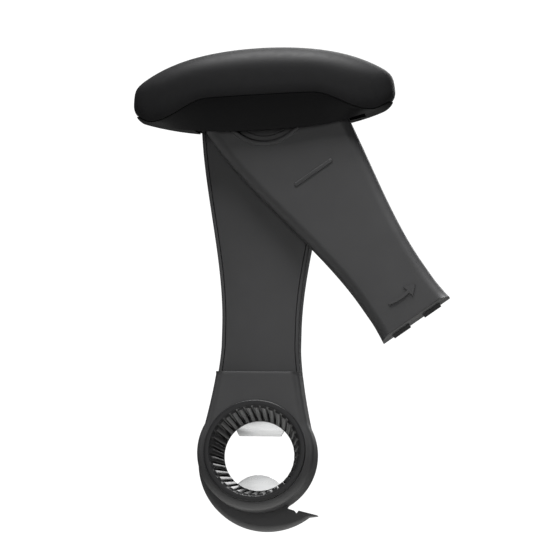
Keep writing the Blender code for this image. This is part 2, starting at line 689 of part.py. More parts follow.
def arrow_outline():
    """A curved arrow that points the way the cover opens."""
    bend = 0.044
    half = 0.0015
    centre = (0.0, bend - ARROW_DROP)
    start, end = -107.0, -78.0
    under = arc(centre, bend + half, start, end, 8)
    over = arc(centre, bend - half, end, start, 8)
    turn = math.radians(end)
    along = (-math.sin(turn), math.cos(turn))
    out = (math.cos(turn), math.sin(turn))
    base = (centre[0] + bend * out[0], centre[1] + bend * out[1])
    barb = 0.0063
    head = [
        (base[0] + barb * out[0], base[1] + barb * out[1]),
        (base[0] + 0.0098 * along[0], base[1] + 0.0098 * along[1]),
        (base[0] - barb * out[0], base[1] - barb * out[1]),
    ]
    return under + head + over


def make_swing_cover():
    side = cover_side(COVER_FOOT, SHOULDER_RISE, ARM_STEPS, COVER_INSET)
    cover = plate("swing_cover", [side + mirrored(side)], COVER_FRONT, COVER_BACK, COVER, PLASTIC)
    round_front(cover, COVER_FRONT, COVER_ROUNDING, 3)
    inner = cover_side(COVER_FOOT + COVER_WALL, SHOULDER_RISE + 0.01, ARM_STEPS, COVER_INSET + COVER_WALL)
    hollow = plate("cover_hollow", [inner + mirrored(inner)], COVER_FRONT + COVER_WALL,
                   COVER_BACK + RUN, COVER)
    round_front(hollow, COVER_FRONT + COVER_WALL, COVER_ROUNDING - COVER_WALL / 2, 3)
    boolean(cover, hollow)
    bearing = [
        (RING_INNER, -COVER_FRONT + RING_PROUD - 0.0006),
        (RING_INNER + 0.0006, -COVER_FRONT + RING_PROUD),
        (RING_OUTER - 0.0012, -COVER_FRONT + RING_PROUD),
        (RING_OUTER, -COVER_FRONT),
        (RING_OUTER, -COVER_BACK),
        (BOSS_RADIUS + RUN / 2, -COVER_BACK),
        (BOSS_RADIUS + RUN / 2, -BOSS_FRONT - RUN),
        (RING_INNER, -BOSS_FRONT - RUN),
    ]
    ring = turned("cover_bearing_ring", bearing, (0, 0, 0), COVER, ring=True)
    boolean(cover, ring, "UNION")
    boolean(cover, rod("cover_boss_hole", RING_INNER, COVER_FRONT - 0.01, BOSS_FRONT - RUN, (0, 0),
                       COVER, steps=CIRCLE_STEPS))
    far = HEAD_HALF_WIDTH + 0.02
    slope = (SHOULDER_RISE * -0.3, -SHOULDER_DROP)
    trim = [
        (-far, SHOULDER_RISE - FIT),
        (-BOSS_RADIUS, SHOULDER_RISE - FIT),
        (RING_OUTER - RING_WIDTH / 2, slope[0]),
        (HEAD_HALF_WIDTH, slope[1]),
        (far, slope[1]),
        (far, far),
        (-far, far),
    ]
    boolean(cover, plate("cover_head_trim", [trim], COVER_FRONT - 0.01, COVER_BACK + 0.01, COVER))
    bar = plate("cover_bar", [stadium((0, -BAR_DROP), BAR_LENGTH, BAR_WIDTH)],
                COVER_FRONT - RELIEF, COVER_FRONT + COVER_WALL / 2, COVER)
    boolean(cover, bar, "UNION")
    arrow = plate("cover_arrow", [arrow_outline()], COVER_FRONT - RELIEF,
                  COVER_FRONT + COVER_WALL / 2, COVER)
    boolean(cover, arrow, "UNION")
    notches = []
    for index, sign in enumerate((-1, 1)):
        low, high = tab_span(sign, RUN / 2)
        notches.append(box(f"tab_notch_{index}", (low, TAB_FRONT - FIT, COVER_FOOT - 0.01),
                           (high, TAB_FRONT + TAB_THICKNESS + FIT, COVER_FOOT + 0.01), COVER))
    cut_all(cover, notches)


def tab_span(sign, gap=0.0):
    centre = sign * TAB_CENTRE
    return centre - TAB_WIDTH / 2 - gap, centre + TAB_WIDTH / 2 + gap


def make_end_clip():
    """A spring strip behind the cover's foot, whose two tabs snap into the collar's step."""
    half = TAB_CENTRE + TAB_WIDTH / 2
    low = COVER_FOOT + COVER_WALL + 2 * RUN
    high = low + 0.009
    left, right = tab_span(-1), tab_span(1)
    reach = COVER_FOOT - TAB_REACH
    outline = [
        (-half, high), (half, high), (half, reach), (right[0], reach), (right[0], low),
        (left[1], low), (left[1], reach), (-half, reach),
    ]
    plate("end_clip", [outline], TAB_FRONT, TAB_FRONT + TAB_THICKNESS, COVER, BUSH_PLASTIC)


# ---------------------------------------------------------------- the padded top

def superellipse(half_x, half_y, power, steps):
    """An oval loop of (x, y) points, squarer as power grows."""
    points = []
    for i in range(steps):
        angle = 2.0 * math.pi * (i + 0.5) / steps
        c, s = math.cos(angle), math.sin(angle)
        x = half_x * math.copysign(abs(c) ** (2.0 / power), c)
        y = half_y * math.copysign(abs(s) ** (2.0 / power), s)
        points.append((x, y))
    return points


def rear_share(y):
    """0 at the pad's front edge and 1 at its rear edge. The base is shallower behind."""
    return smooth_share((y + PAD_HALF_WIDTH) / (2 * PAD_HALF_WIDTH))


def parting_height(x):
    """The seam between pad and base, which dips towards the pad's ends and climbs at their tips."""
    share = abs(x) / PAD_HALF_LENGTH
    dip = smooth_share((share - 0.40) / 0.42)
    climb = smooth_share((share - 0.84) / 0.16)
    return PARTING_MIDDLE + (PARTING_DIP - PARTING_MIDDLE) * dip + PARTING_TIP_RISE * climb


def crown_height(x, y):
    """The pad's top where it isn't rounded off."""
    return PAD_CROWN - PAD_CROWN_SAG * (x / 0.1) ** 2 - PAD_SIDE_SAG * (y / PAD_HALF_WIDTH) ** 2


def keel_height(x, y):
    rise = (KEEL_ENDS - KEEL_MIDDLE) * abs(x / PAD_HALF_LENGTH) ** 2.5
    return KEEL_MIDDLE + rise + KEEL_REAR_RISE * rear_share(y)


PAD_STEPS = 40
PAD_POWER = 2.5


def pad_spread(level):
    """How wide the pad is at a share of its height, against its widest."""
    if level < PAD_BULGE:
        return 1.0 - 0.02 * ((PAD_BULGE - level) / PAD_BULGE) ** 2
    return (1.0 - ((level - PAD_BULGE) / (1.0 - PAD_BULGE)) ** 4) ** 0.25


def pad_loop(level, spread):
    loop = []
    for x, y in superellipse(PAD_HALF_LENGTH * spread, PAD_HALF_WIDTH * spread, PAD_POWER, PAD_STEPS):
        low = parting_height(x) + FIT
        height = low + (crown_height(x, y) - low) * level
        loop.append((x + PAD_SHIFT, y + PAD_DEPTH_CENTRE, height))
    return loop


def make_pad_cushion():
    """The foam top: an arched, round-edged oval, hollow underneath for the carrier."""
    levels = (0.0, 0.12, 0.25, 0.45, 0.65, 0.80, 0.90, 0.96, 0.985)
    loops = [pad_loop(level, pad_spread(level)) for level in levels]
    for spread in (0.42, 0.22):
        loops.append(pad_loop(1.0 - 0.004 * spread, spread))
    cushion = lofted("pad_cushion", loops, PAD, RUBBERY, sharp=60)
    room = superellipse(CARRIER_HALF_LENGTH + RUN, CARRIER_HALF_WIDTH + RUN, 4, 32)
    low = [(x, y + PAD_DEPTH_CENTRE, PARTING_DIP - 0.02) for x, y in room]
    high = [(x, y + PAD_DEPTH_CENTRE, CAVITY_TOP) for x, y in room]
    boolean(cushion, lofted("cushion_room", [low, high], PAD))


def make_pad_base():
    """The hard shell under the pad: a shallow boat with a slot for the arm's head and the cover."""
    rim_x = pad_spread(0.0) * PAD_HALF_LENGTH - FIT
    rim_y = pad_spread(0.0) * PAD_HALF_WIDTH - FIT
    loops = []
    for level in (0.0, 0.25, 0.5, 0.75, 0.92, 1.0):
        half_x = rim_x * (1.0 - 0.05 * level ** 2)
        half_y = rim_y + (KEEL_HALF_WIDTH - rim_y) * level ** 1.25
        loop = []
        for x, y in superellipse(half_x, half_y, PAD_POWER, PAD_STEPS):
            high = parting_height(x)
            edge = RUN if level == 0.0 else 0.0
            height = high + edge + (keel_height(x, y) - high) * level
            loop.append((x + PAD_SHIFT, y + PAD_DEPTH_CENTRE, height))
        loops.append(loop)
    base = lofted("pad_base", loops, PAD, PLASTIC, sharp=50)
    drop_rim_cap(base)
    shell = base.modifiers.new("Wall", "SOLIDIFY")
    shell.thickness = BASE_WALL
    shell.offset = -1.0
    seam = [(x, y) for x, y, _ in pad_loop(0.0, pad_spread(0.0))]
    under = [(x, PAD_DEPTH_CENTRE + (y - PAD_DEPTH_CENTRE) * 1.5, parting_height(x - PAD_SHIFT))
             for x, y in seam]
    over = [(x, y, PARTING_MIDDLE + BASE_WALL * 4) for x, y, _ in under]
    boolean(base, lofted("parting_room", [under, over], PAD))
    cuts = []
    top = CARRIER_HEIGHT - FIT
    keel = keel_height(POST_REACH, POST_DEPTH - PAD_DEPTH_CENTRE)
    post_profile = [(0.0, top), (POST_RADIUS, top), (POST_RADIUS, keel + 0.001), (0.0, keel + 0.001)]
    hole_profile = [(0.0, top + RUN), (SMALL_SHAFT + FIT, top + RUN), (SMALL_SHAFT + FIT, POST_SEAT),
                    (POST_HEAD + FIT, POST_SEAT), (POST_HEAD + FIT, keel - RUN), (0.0, keel - RUN)]
    for side, sign in (("left", -1), ("right", 1)):
        at = (sign * POST_REACH, POST_DEPTH, 0.0)
        post = turned(f"base_post_{side}", post_profile, at, PAD, steps=16, upright=True)
        boolean(base, post, "UNION")
        cuts.append(turned(f"base_hole_{side}", hole_profile, at, PAD, steps=16, upright=True))
    sway = math.sin(PAD_TILT + PAD_REST_TILT + ARM_LEAN)
    arm_reach = HEAD_HALF_WIDTH - KEEL_MIDDLE * sway + RUN
    arm_slot = box("arm_slot", (-arm_reach, ARM_FRONT - RUN, KEEL_MIDDLE - 0.01),
                   (arm_reach, CHEEK_REAR + RUN, BASE_SLOT_TOP), PAD)
    cuts.append(arm_slot)
    cover_slot = box("cover_slot", (-arm_reach, COVER_FRONT - RING_PROUD - RUN, KEEL_MIDDLE - 0.01),
                     (COVER_SLOT_REACH, ARM_FRONT + RUN, BASE_SLOT_TOP), PAD)
    cuts.append(cover_slot)
    cut_all(base, cuts)


def drop_rim_cap(base):
    """Takes the cap off the base's rim, so that the shell is open where the pad sits."""
    work = bmesh.new()
    work.from_mesh(base.data)
    rim = {vert for vert in work.verts[:PAD_STEPS]}
    caps = [face for face in work.faces if all(vert in rim for vert in face.verts)]
    bmesh.ops.delete(work, geom=caps, context="FACES")
    work.to_mesh(base.data)
    work.free()


BASE_SLOT_TOP = -0.005
COVER_SLOT_REACH = 0.0970     # the open cover leaves the base this far from the pivot
POST_REACH = 0.088
POST_DEPTH = -0.006
POST_RADIUS = 0.0048
POST_HEAD = 0.0030
POST_SEAT = 0.008             # height of the face under the base screws' heads


def make_carrier():
    outline = [(x, -y) for x, y in superellipse(CARRIER_HALF_LENGTH, CARRIER_HALF_WIDTH, 4, 32)]
    low = [(x, PAD_DEPTH_CENTRE - y, CARRIER_HEIGHT) for x, y in outline]
    high = [(x, y, CARRIER_HEIGHT + CARRIER_THICKNESS) for x, y, _ in low]
    carrier = lofted("pad_carrier", [low, high], PAD, BLACK_STEEL)
    bracket = make_tilt_bracket()
    holes = []
    seat = CARRIER_HEIGHT - 2 * FIT - BRACKET_THICKNESS
    for index, at in enumerate(BRACKET_SCREWS):
        holes.append(upright_hole(f"bracket_hole_{index}", at, SCREW_SHAFT))
        made = screw_piece(f"bracket_screw_{index + 1}", (*at, 0.0), PAD, SCREW_SHAFT, 0.0055, 0.0040,
                           0.0022, -seat, upright=True)
        made.rotation_euler.x = math.pi
    cut_all(bracket, holes)
    post_holes = []
    for index, sign in enumerate((-1, 1)):
        at = (sign * POST_REACH, POST_DEPTH)
        post_holes.append(upright_hole(f"post_hole_{index}", at, SMALL_SHAFT))
        made = screw_piece(f"base_screw_{index + 1}", (*at, 0.0), PAD, SMALL_SHAFT, 0.0240, POST_HEAD,
                           0.0022, -POST_SEAT + FIT, upright=True)
        made.rotation_euler.x = math.pi
    cut_all(carrier, holes + post_holes)


def upright_hole(name, at, shaft):
    top = CARRIER_HEIGHT + 0.01
    profile = [(0.0, top), (shaft + FIT, top), (shaft + FIT, top - 0.02), (0.0, top - 0.02)]
    return turned(name, profile, (*at, 0.0), PAD, steps=12, upright=True)


def make_tilt_bracket():
    """A steel saddle under the carrier, whose two cheeks turn on the pivot bolt."""
    top = CARRIER_HEIGHT - FIT
    saddle = box("tilt_bracket", (-BRACKET_HALF, CHEEK_FRONT, top - BRACKET_THICKNESS),
                 (BRACKET_HALF, CHEEK_REAR, top), PAD, ZINC)
    outline = arc((0, 0), CHEEK_RADIUS, 180.0, 360.0, 20)
    outline += [(CHEEK_RADIUS, top - BRACKET_THICKNESS / 2), (-CHEEK_RADIUS, top - BRACKET_THICKNESS / 2)]
    hole = circle((0, 0), PIVOT_BOLT_RADIUS + FIT, 24)
    for name, front in (("front", CHEEK_FRONT), ("rear", CHEEK_REAR - BRACKET_THICKNESS)):
        cheek = plate(f"bracket_cheek_{name}", [outline, hole], front, front + BRACKET_THICKNESS, PAD)
        boolean(saddle, cheek, "UNION")
    return saddle


BRACKET_HALF = 0.028
BRACKET_SCREWS = [(x, y) for x in (-0.020, 0.020) for y in (-0.034, -0.006)]


# ---------------------------------------------------------------- build

def main():
    make_arm_shell()
    make_arm_face()
    make_arm_spine()
    make_arm_screws()
    make_hub_housing()
    make_toothed_bush()
    make_key_plate()
    make_stop_claw()
    make_hub_screws()
    make_pivot()
    make_swing_cover()
    make_end_clip()
    make_pad_cushion()
    make_pad_base()
    make_carrier()


main()
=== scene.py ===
# %% [markdown]
# # An office-chair armrest
#
# The armrest has a soft top on a hard base, an upright arm, a cover that swings out from
# the arm, and a hub with a toothed bore that locks on the chair's cone. Its working solids
# are already made, and this script loads them as a fixed frame. It then builds the surfaces
# that are seen, and gives each one the finish of its real material.

# %% Load the frame
import json
import math

import bmesh
import bpy
from mathutils import Matrix, Vector

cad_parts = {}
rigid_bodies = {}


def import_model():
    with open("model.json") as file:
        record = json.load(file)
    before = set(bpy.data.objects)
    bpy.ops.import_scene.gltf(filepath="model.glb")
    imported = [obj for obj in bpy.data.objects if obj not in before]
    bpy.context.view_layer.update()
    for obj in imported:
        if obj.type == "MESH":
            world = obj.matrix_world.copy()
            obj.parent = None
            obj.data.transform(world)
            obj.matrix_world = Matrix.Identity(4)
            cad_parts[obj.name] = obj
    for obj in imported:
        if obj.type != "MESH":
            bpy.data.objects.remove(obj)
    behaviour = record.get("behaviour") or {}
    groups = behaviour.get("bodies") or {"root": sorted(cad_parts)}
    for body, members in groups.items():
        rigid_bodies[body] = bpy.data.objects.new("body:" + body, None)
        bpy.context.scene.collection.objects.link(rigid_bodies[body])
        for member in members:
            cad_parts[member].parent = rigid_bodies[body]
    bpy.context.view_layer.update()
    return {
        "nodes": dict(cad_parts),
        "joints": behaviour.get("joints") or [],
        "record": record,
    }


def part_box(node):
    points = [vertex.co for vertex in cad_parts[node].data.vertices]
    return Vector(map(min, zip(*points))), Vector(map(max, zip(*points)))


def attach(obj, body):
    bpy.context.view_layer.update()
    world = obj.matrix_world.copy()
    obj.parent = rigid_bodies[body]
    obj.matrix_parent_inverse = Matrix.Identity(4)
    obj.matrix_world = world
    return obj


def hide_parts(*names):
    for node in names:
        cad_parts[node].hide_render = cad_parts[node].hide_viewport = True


for old in list(bpy.data.objects):
    bpy.data.objects.remove(old, do_unlink=True)

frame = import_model()
cad_nodes = frame["nodes"]
print("solids in the frame:", len(cad_nodes))

# %% [markdown]
# ## Three places to build in
#
# The armrest's parts lean and turn against each other, so each is easiest to draw in a
# place of its own. The arm's place starts on the hub's axis and runs up the leaning arm.
# The cover's place starts at the pivot and hangs down the opened cover. The pad's place
# starts at the pivot too, but stands level. All three come from the frame's own joints.

# %% The arm's, the cover's and the pad's places
joints = {joint["name"]: joint for joint in frame["joints"]}
pivot = Vector(joints["pad_tilt"]["pos_m"])
pivot.y = 0.0
LEAN = math.atan2(pivot.x, pivot.z)
ARM_LENGTH = math.hypot(pivot.x, pivot.z)
COVER_OPEN = math.radians(-min(joints["cover_swing"]["range_deg"]))

ARM_PLACE = Matrix.Rotation(LEAN, 4, "Y")
COVER_PLACE = Matrix.Translation(pivot) @ Matrix.Rotation(LEAN - COVER_OPEN, 4, "Y")
PAD_PLACE = Matrix.Translation(pivot)
print(f"arm {ARM_LENGTH:.3f} m long, leaning {math.degrees(LEAN):.1f} degrees")

# %% [markdown]
# ## Camera, light and floor
#
# The view is from a little below and a little to the right, with a long lens so that the
# arm's sides stay nearly parallel. One large softbox hangs in front and above, so the pad
# shades the arm's head, and weak fills keep the undersides readable. The backdrop is white,
# and the floor is far below because the armrest is seen as if mounted on its chair.

# %% The camera
AZIMUTH = math.radians(7.2)
ELEVATION = math.radians(-10.5)
DISTANCE = 4.0
AIM = Vector((0.0177, -0.02, 0.173))

VIEW_WIDTH = 0.5313  # what the picture takes in at the armrest
back = Vector((math.sin(AZIMUTH) * math.cos(ELEVATION),
               -math.cos(AZIMUTH) * math.cos(ELEVATION),
               math.sin(ELEVATION)))
camera_data = bpy.data.cameras.new("camera")
camera_data.sensor_width = 36.0
camera_data.lens = camera_data.sensor_width * DISTANCE / VIEW_WIDTH
camera = bpy.data.objects.new("camera", camera_data)
bpy.context.scene.collection.objects.link(camera)
camera.location = AIM + back * DISTANCE
camera.rotation_euler = back.to_track_quat("Z", "Y").to_euler()
bpy.context.scene.camera = camera
print(f"lens {camera_data.lens:.0f} mm")

# %% A helper for colours and one for shader nodes
def hex_colour(code):
    """The linear colour of an sRGB code such as 8899AA."""
    parts = [int(code[i:i + 2], 16) / 255 for i in (0, 2, 4)]
    linear = [v / 12.92 if v <= 0.04045 else ((v + 0.055) / 1.055) ** 2.4 for v in parts]
    return (*linear, 1.0)


def add_node(tree, kind, values=None, links=None, **settings):
    """Adds a node. values fills its sockets, links feeds them, and settings are its options."""
    node = tree.nodes.new(kind)
    for name, value in settings.items():
        setattr(node, name, value)
    for socket, value in (values or {}).items():
        node.inputs[socket].default_value = value
    for socket, source in (links or {}).items():
        tree.links.new(source, node.inputs[socket])
    return node


# %% The white surroundings
world = bpy.data.worlds.new("white_studio")
world.use_nodes = True
bpy.context.scene.world = world
air = world.node_tree
air.nodes.clear()
seen = add_node(air, "ShaderNodeLightPath")
glow = add_node(air, "ShaderNodeBackground", {"Color": hex_colour("FFFFFF"), "Strength": 0.07})
backdrop = add_node(air, "ShaderNodeBackground", {"Color": hex_colour("FFFFFF"), "Strength": 1.1})
both = add_node(air, "ShaderNodeMixShader", links={
    0: seen.outputs["Is Camera Ray"], 1: glow.outputs[0], 2: backdrop.outputs[0]})
add_node(air, "ShaderNodeOutputWorld", links={"Surface": both.outputs[0]})
bpy.context.scene.view_settings.view_transform = "Standard"


# %% Softboxes
def softbox(name, azimuth, elevation, distance, size, power):
    """A square lamp that faces the middle of the armrest; angles are in degrees."""
    a, e = math.radians(azimuth), math.radians(elevation)
    out = Vector((math.sin(a) * math.cos(e), -math.cos(a) * math.cos(e), math.sin(e)))
    lamp = bpy.data.lights.new(name, "AREA")
    lamp.shape = "SQUARE"
    lamp.size = size
    lamp.energy = power
    made = bpy.data.objects.new(name, lamp)
    bpy.context.scene.collection.objects.link(made)
    made.location = AIM + out * distance
    made.rotation_euler = out.to_track_quat("Z", "Y").to_euler()


softbox("key_softbox", 5, 79, 2.2, 1.4, 190)
softbox("front_fill", 0, 5, 3.0, 1.8, 11)
softbox("left_edge", -75, 15, 2.2, 1.0, 3)
softbox("right_edge", 80, 10, 2.2, 1.0, 5)
softbox("rear_fill", 170, 35, 2.4, 1.6, 30)

# %% The floor
FLOOR_HEIGHT = -1.2
FLOOR_HALF = 6.0
floor_mesh = bpy.data.meshes.new("studio_floor")
floor_mesh.from_pydata([(sx * FLOOR_HALF, sy * FLOOR_HALF, FLOOR_HEIGHT)
                        for sx, sy in ((-1, -1), (1, -1), (1, 1), (-1, 1))], [], [(0, 1, 2, 3)])
floor = bpy.data.objects.new("studio_floor", floor_mesh)
bpy.context.scene.collection.objects.link(floor)
paint = bpy.data.materials.new("pale_floor_paint")
paint.use_nodes = True
paint.node_tree.nodes["Principled BSDF"].inputs["Base Color"].default_value = hex_colour("E8E8E6")
paint.node_tree.nodes["Principled BSDF"].inputs["Roughness"].default_value = 0.8
floor_mesh.materials.append(paint)

# %% [markdown]
# ## Outlines and solid shapes
#
# Most of the armrest's pieces are moulded plates: an outline that is pulled through a depth,
# with its edges rounded. A filled 2D curve gives the outline its faces, holes included, and a
# Bevel modifier that looks only at marked edges rounds the front or the rear. Turned pieces
# come from a profile and a Screw modifier. Booleans then cut the openings, as a mould's
# cores would. Each piece's modifiers are applied once it is complete.

# %% Outline helpers
def arc(centre, radius, start, end, steps):
    """Points on a circle from one angle to another, in degrees from +X."""
    angles = [math.radians(start + (end - start) * i / steps) for i in range(steps + 1)]
    return [(centre[0] + radius * math.cos(a), centre[1] + radius * math.sin(a)) for a in angles]


def mirrored(points):
    """The points' mirror image in X, in reverse order, so that the two join into an outline."""
    return [(-x, z) for x, z in reversed(points)]


def smooth_share(value):
    """0 to 1 with a gentle start and end."""
    value = min(1.0, max(0.0, value))
    return value * value * (3.0 - 2.0 * value)


# %% Solid helpers
cutters = []


def link(name, mesh, place):
    """Puts a mesh into the scene, in the arm's, the cover's or the pad's place."""
    made = bpy.data.objects.new(name, mesh)
    bpy.context.scene.collection.objects.link(made)
    made.matrix_world = place
    return made


# %% [markdown]
# ### Plates
#
# Most pieces here are flat outlines with a thickness, like a moulding seen from the front.
# Blender's 2D curve fills an outline and its holes by itself, so the outline is drawn as a
# curve, extruded, and turned to a mesh. A block is a plate with four corners.

# %% Plates and blocks
def plate(name, loops, front, rear, place):
    """A flat outline of (x, z) points between two depths; further loops are its holes."""
    curve = bpy.data.curves.new(name, "CURVE")
    curve.dimensions = "2D"
    curve.fill_mode = "BOTH"
    curve.extrude = (rear - front) / 2
    for loop in loops:
        spline = curve.splines.new("POLY")
        spline.points.add(len(loop) - 1)
        for point, (x, z) in zip(spline.points, loop):
            point.co = (x, z, 0.0, 1.0)
        spline.use_cyclic_u = True
    drawn = bpy.data.objects.new(name, curve)
    bpy.context.scene.collection.objects.link(drawn)
    mesh = bpy.data.meshes.new_from_object(drawn.evaluated_get(bpy.context.evaluated_depsgraph_get()))
    mesh.transform(Matrix.Translation((0, (front + rear) / 2, 0)) @ Matrix.Rotation(math.pi / 2, 4, "X"))
    bpy.data.objects.remove(drawn)
    work = bmesh.new()
    work.from_mesh(mesh)
    bmesh.ops.remove_doubles(work, verts=work.verts, dist=1e-6)
    bmesh.ops.dissolve_limit(work, angle_limit=math.radians(0.2), verts=work.verts, edges=work.edges)
    bmesh.ops.recalc_face_normals(work, faces=work.faces)
    work.to_mesh(mesh)
    work.free()
    mesh.materials.clear()
    return link(name, mesh, place)


# %% [markdown]
# ### Turned shapes
#
# Rings, discs and screws are round, so half of their section is drawn once and a Screw
# modifier turns it about its axis, as on a lathe.

# %% Turned shapes
def turned(name, profile, at, place, steps=96, upright=False):
    """A closed ring of (radius, height) points turned about its axis; heights count to the viewer."""
    mesh = bpy.data.meshes.new(name)
    count = len(profile)
    on_axis = profile[0][0] == 0.0 and profile[-1][0] == 0.0
    edges = [(i, i + 1) for i in range(count - 1)] + ([] if on_axis else [(count - 1, 0)])
    mesh.from_pydata([(radius, 0.0, height) for radius, height in profile], edges, [])
    lie_down = Matrix.Identity(4) if upright else Matrix.Rotation(math.pi / 2, 4, "X")
    made = link(name, mesh, place @ Matrix.Translation(at) @ lie_down)
    screw = made.modifiers.new("Turn", "SCREW")
    screw.steps = steps
    screw.render_steps = steps
    screw.use_merge_vertices = True
    screw.merge_threshold = 1e-5
    return made


def block(name, low, high, place):
    """A block between two corners, for cutting."""
    outline = [(low[0], low[2]), (high[0], low[2]), (high[0], high[2]), (low[0], high[2])]
    return plate(name, [outline], low[1], high[1], place)


# %% [markdown]
# ### Soft edges
#
# Mouldings have no sharp outer edges. A Bevel modifier rounds only the edges that carry a
# weight, so one edge can be soft and the next one crisp.

# %% Rounded edges
def round_edges(piece, depth, width, segments, share=None):
    """Rounds the edges of the face at one depth. share gives each edge's share of the width."""
    mesh = piece.data
    marks = mesh.attributes.get("bevel_weight_edge") or mesh.attributes.new(
        "bevel_weight_edge", "FLOAT", "EDGE")
    for edge in mesh.edges:
        ends = [mesh.vertices[i].co for i in edge.vertices]
        if all(abs(end.y - depth) < 1e-6 for end in ends):
            marks.data[edge.index].value = share(ends) if share else 1.0
    bevel = piece.modifiers.get("Rounding") or piece.modifiers.new("Rounding", "BEVEL")
    bevel.limit_method = "WEIGHT"
    bevel.width = width
    bevel.segments = segments
    bevel.use_clamp_overlap = False
    bevel.loop_slide = False


# %% [markdown]
# ### Cutting, joining and finishing a piece
#
# Holes and slots are cut with Boolean modifiers. When a piece is complete its modifiers are
# applied, it gets its finish, it is attached to the body it moves with, and the solids it
# stands for are hidden.

# %% Cuts, pockets and the finished piece
def combine(piece, other, operation="DIFFERENCE"):
    """Cuts another shape away from a piece, or joins it on."""
    step = piece.modifiers.new(other.name, "BOOLEAN")
    step.operation = operation
    step.solver = "EXACT"
    step.object = other
    other.hide_render = True
    cutters.append(other)


def sink(piece, node, radius, depth):
    """Sinks a round pocket into the arm's rear where a screw's head lies."""
    low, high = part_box(node)
    at = ARM_PLACE.inverted() @ ((low + high) / 2)
    pocket = [(0.0, depth), (radius, depth), (radius, -5 * MM), (0.0, -5 * MM)]
    combine(piece, turned(f"pocket_{node}", pocket, (at.x, 0, at.z), ARM_PLACE, steps=40))


def complete(piece, finish, body, slot, *stands_for, sharp=30):
    """Applies a piece's modifiers, gives it its finish, and hands it to its body."""
    bpy.context.view_layer.update()
    mesh = bpy.data.meshes.new_from_object(piece.evaluated_get(bpy.context.evaluated_depsgraph_get()))
    mesh.transform(piece.matrix_world)
    piece.modifiers.clear()
    piece.matrix_world = Matrix.Identity(4)
    mesh.materials.clear()
    mesh.materials.append(finish)
    for face in mesh.polygons:
        face.material_index = 0
    mesh.shade_smooth()
    mesh.set_sharp_from_angle(angle=math.radians(sharp))
    piece.data = mesh
    while cutters:
        bpy.data.objects.remove(cutters.pop())
    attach(piece, body)
    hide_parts(*stands_for)
    print(f"{piece.name}: {len(mesh.polygons)} faces")
    return piece

# %% [markdown]
# ## The finishes
#
# Almost everything here is black, so the finishes differ in gloss and grain rather than in
# colour. Each grain is drawn in metres from the piece's own coordinates, which are the
# world's, so a 1 mm grain stays 1 mm on every piece. The first cell starts a finish: it
# makes the material and hands back the nodes that the rest of the finish is built on.

# %% Start a finish
MM = 0.001


def start_finish(name, roughness, metallic=0.0):
    """A new material, its node tree, its shader and the coordinates of its surface."""
    made = bpy.data.materials.new(name)
    made.use_nodes = True
    tree = made.node_tree
    shader = tree.nodes["Principled BSDF"]
    shader.inputs["Roughness"].default_value = roughness
    shader.inputs["Metallic"].default_value = metallic
    where = add_node(tree, "ShaderNodeTexCoord").outputs["Object"]
    return made, tree, shader, where


# %% [markdown]
# ### Glass-filled nylon from a spark-eroded mould
#
# The arm, the cover, the hub's housing and the claw are injection-moulded nylon. Sparks that
# cut the steel mould leave it finely pitted, and the plastic copies the pits as an even,
# matte grain. The real grain is about 0.2 mm, too fine to show, so it is drawn at 0.9 mm and
# very shallow. A slow change of gloss over some 25 mm stands for the way the plastic flowed.

# %% Spark-eroded nylon
EROSION_GRAIN = 0.9 * MM
FLOW_SIZE = 25 * MM

nylon, tree, shader, where = start_finish("spark_eroded_nylon", 0.5)
shader.inputs["IOR"].default_value = 1.53
flow = add_node(tree, "ShaderNodeTexNoise", {"Scale": 1 / FLOW_SIZE, "Detail": 3.0}, {"Vector": where})
tint = add_node(tree, "ShaderNodeMix", {"A": hex_colour("272728"), "B": hex_colour("2E2E2F")},
                {"Factor": flow.outputs["Fac"]}, data_type="RGBA")
tree.links.new(tint.outputs["Result"], shader.inputs["Base Color"])
gloss = add_node(tree, "ShaderNodeMapRange", {"To Min": 0.40, "To Max": 0.56},
                 {"Value": flow.outputs["Fac"]})
tree.links.new(gloss.outputs["Result"], shader.inputs["Roughness"])
pits = add_node(tree, "ShaderNodeTexNoise", {"Scale": 1 / EROSION_GRAIN, "Detail": 2.0, "Roughness": 0.6},
                {"Vector": where})
relief = add_node(tree, "ShaderNodeBump", {"Strength": 0.22, "Distance": 0.05 * MM},
                  {"Height": pits.outputs["Fac"]})
tree.links.new(relief.outputs["Normal"], shader.inputs["Normal"])

# %% [markdown]
# ### Integral-skin polyurethane foam
#
# The soft top is one casting of foam whose outside sets as a tough skin. Its mould is
# leather-grained: shallow rounded cells about 1.3 mm across with fine creases between. The
# skin is dull, and it mirrors less than the hard plastics do.

# %% Foam skin
SKIN_CELL = 1.3 * MM

foam_skin, tree, shader, where = start_finish("integral_skin_foam", 0.58)
shader.inputs["IOR"].default_value = 1.48
shader.inputs["Specular IOR Level"].default_value = 0.14
wander = add_node(tree, "ShaderNodeTexNoise", {"Scale": 1 / (6 * MM), "Detail": 2.0}, {"Vector": where})
skin_tint = add_node(tree, "ShaderNodeMix", {"A": hex_colour("0E0E0F"), "B": hex_colour("121213")},
                     {"Factor": wander.outputs["Fac"]}, data_type="RGBA")
tree.links.new(skin_tint.outputs["Result"], shader.inputs["Base Color"])
dullness = add_node(tree, "ShaderNodeMapRange", {"To Min": 0.50, "To Max": 0.66},
                    {"Value": wander.outputs["Fac"]})
tree.links.new(dullness.outputs["Result"], shader.inputs["Roughness"])
cells = add_node(tree, "ShaderNodeTexVoronoi", {"Scale": 1 / SKIN_CELL, "Smoothness": 0.6},
                 {"Vector": where}, feature="SMOOTH_F1")
creases = add_node(tree, "ShaderNodeTexNoise", {"Scale": 1 / (0.7 * MM), "Detail": 3.0},
                   {"Vector": where})
grain = add_node(tree, "ShaderNodeMath", {1: 0.5}, {0: creases.outputs["Fac"]}, operation="MULTIPLY")
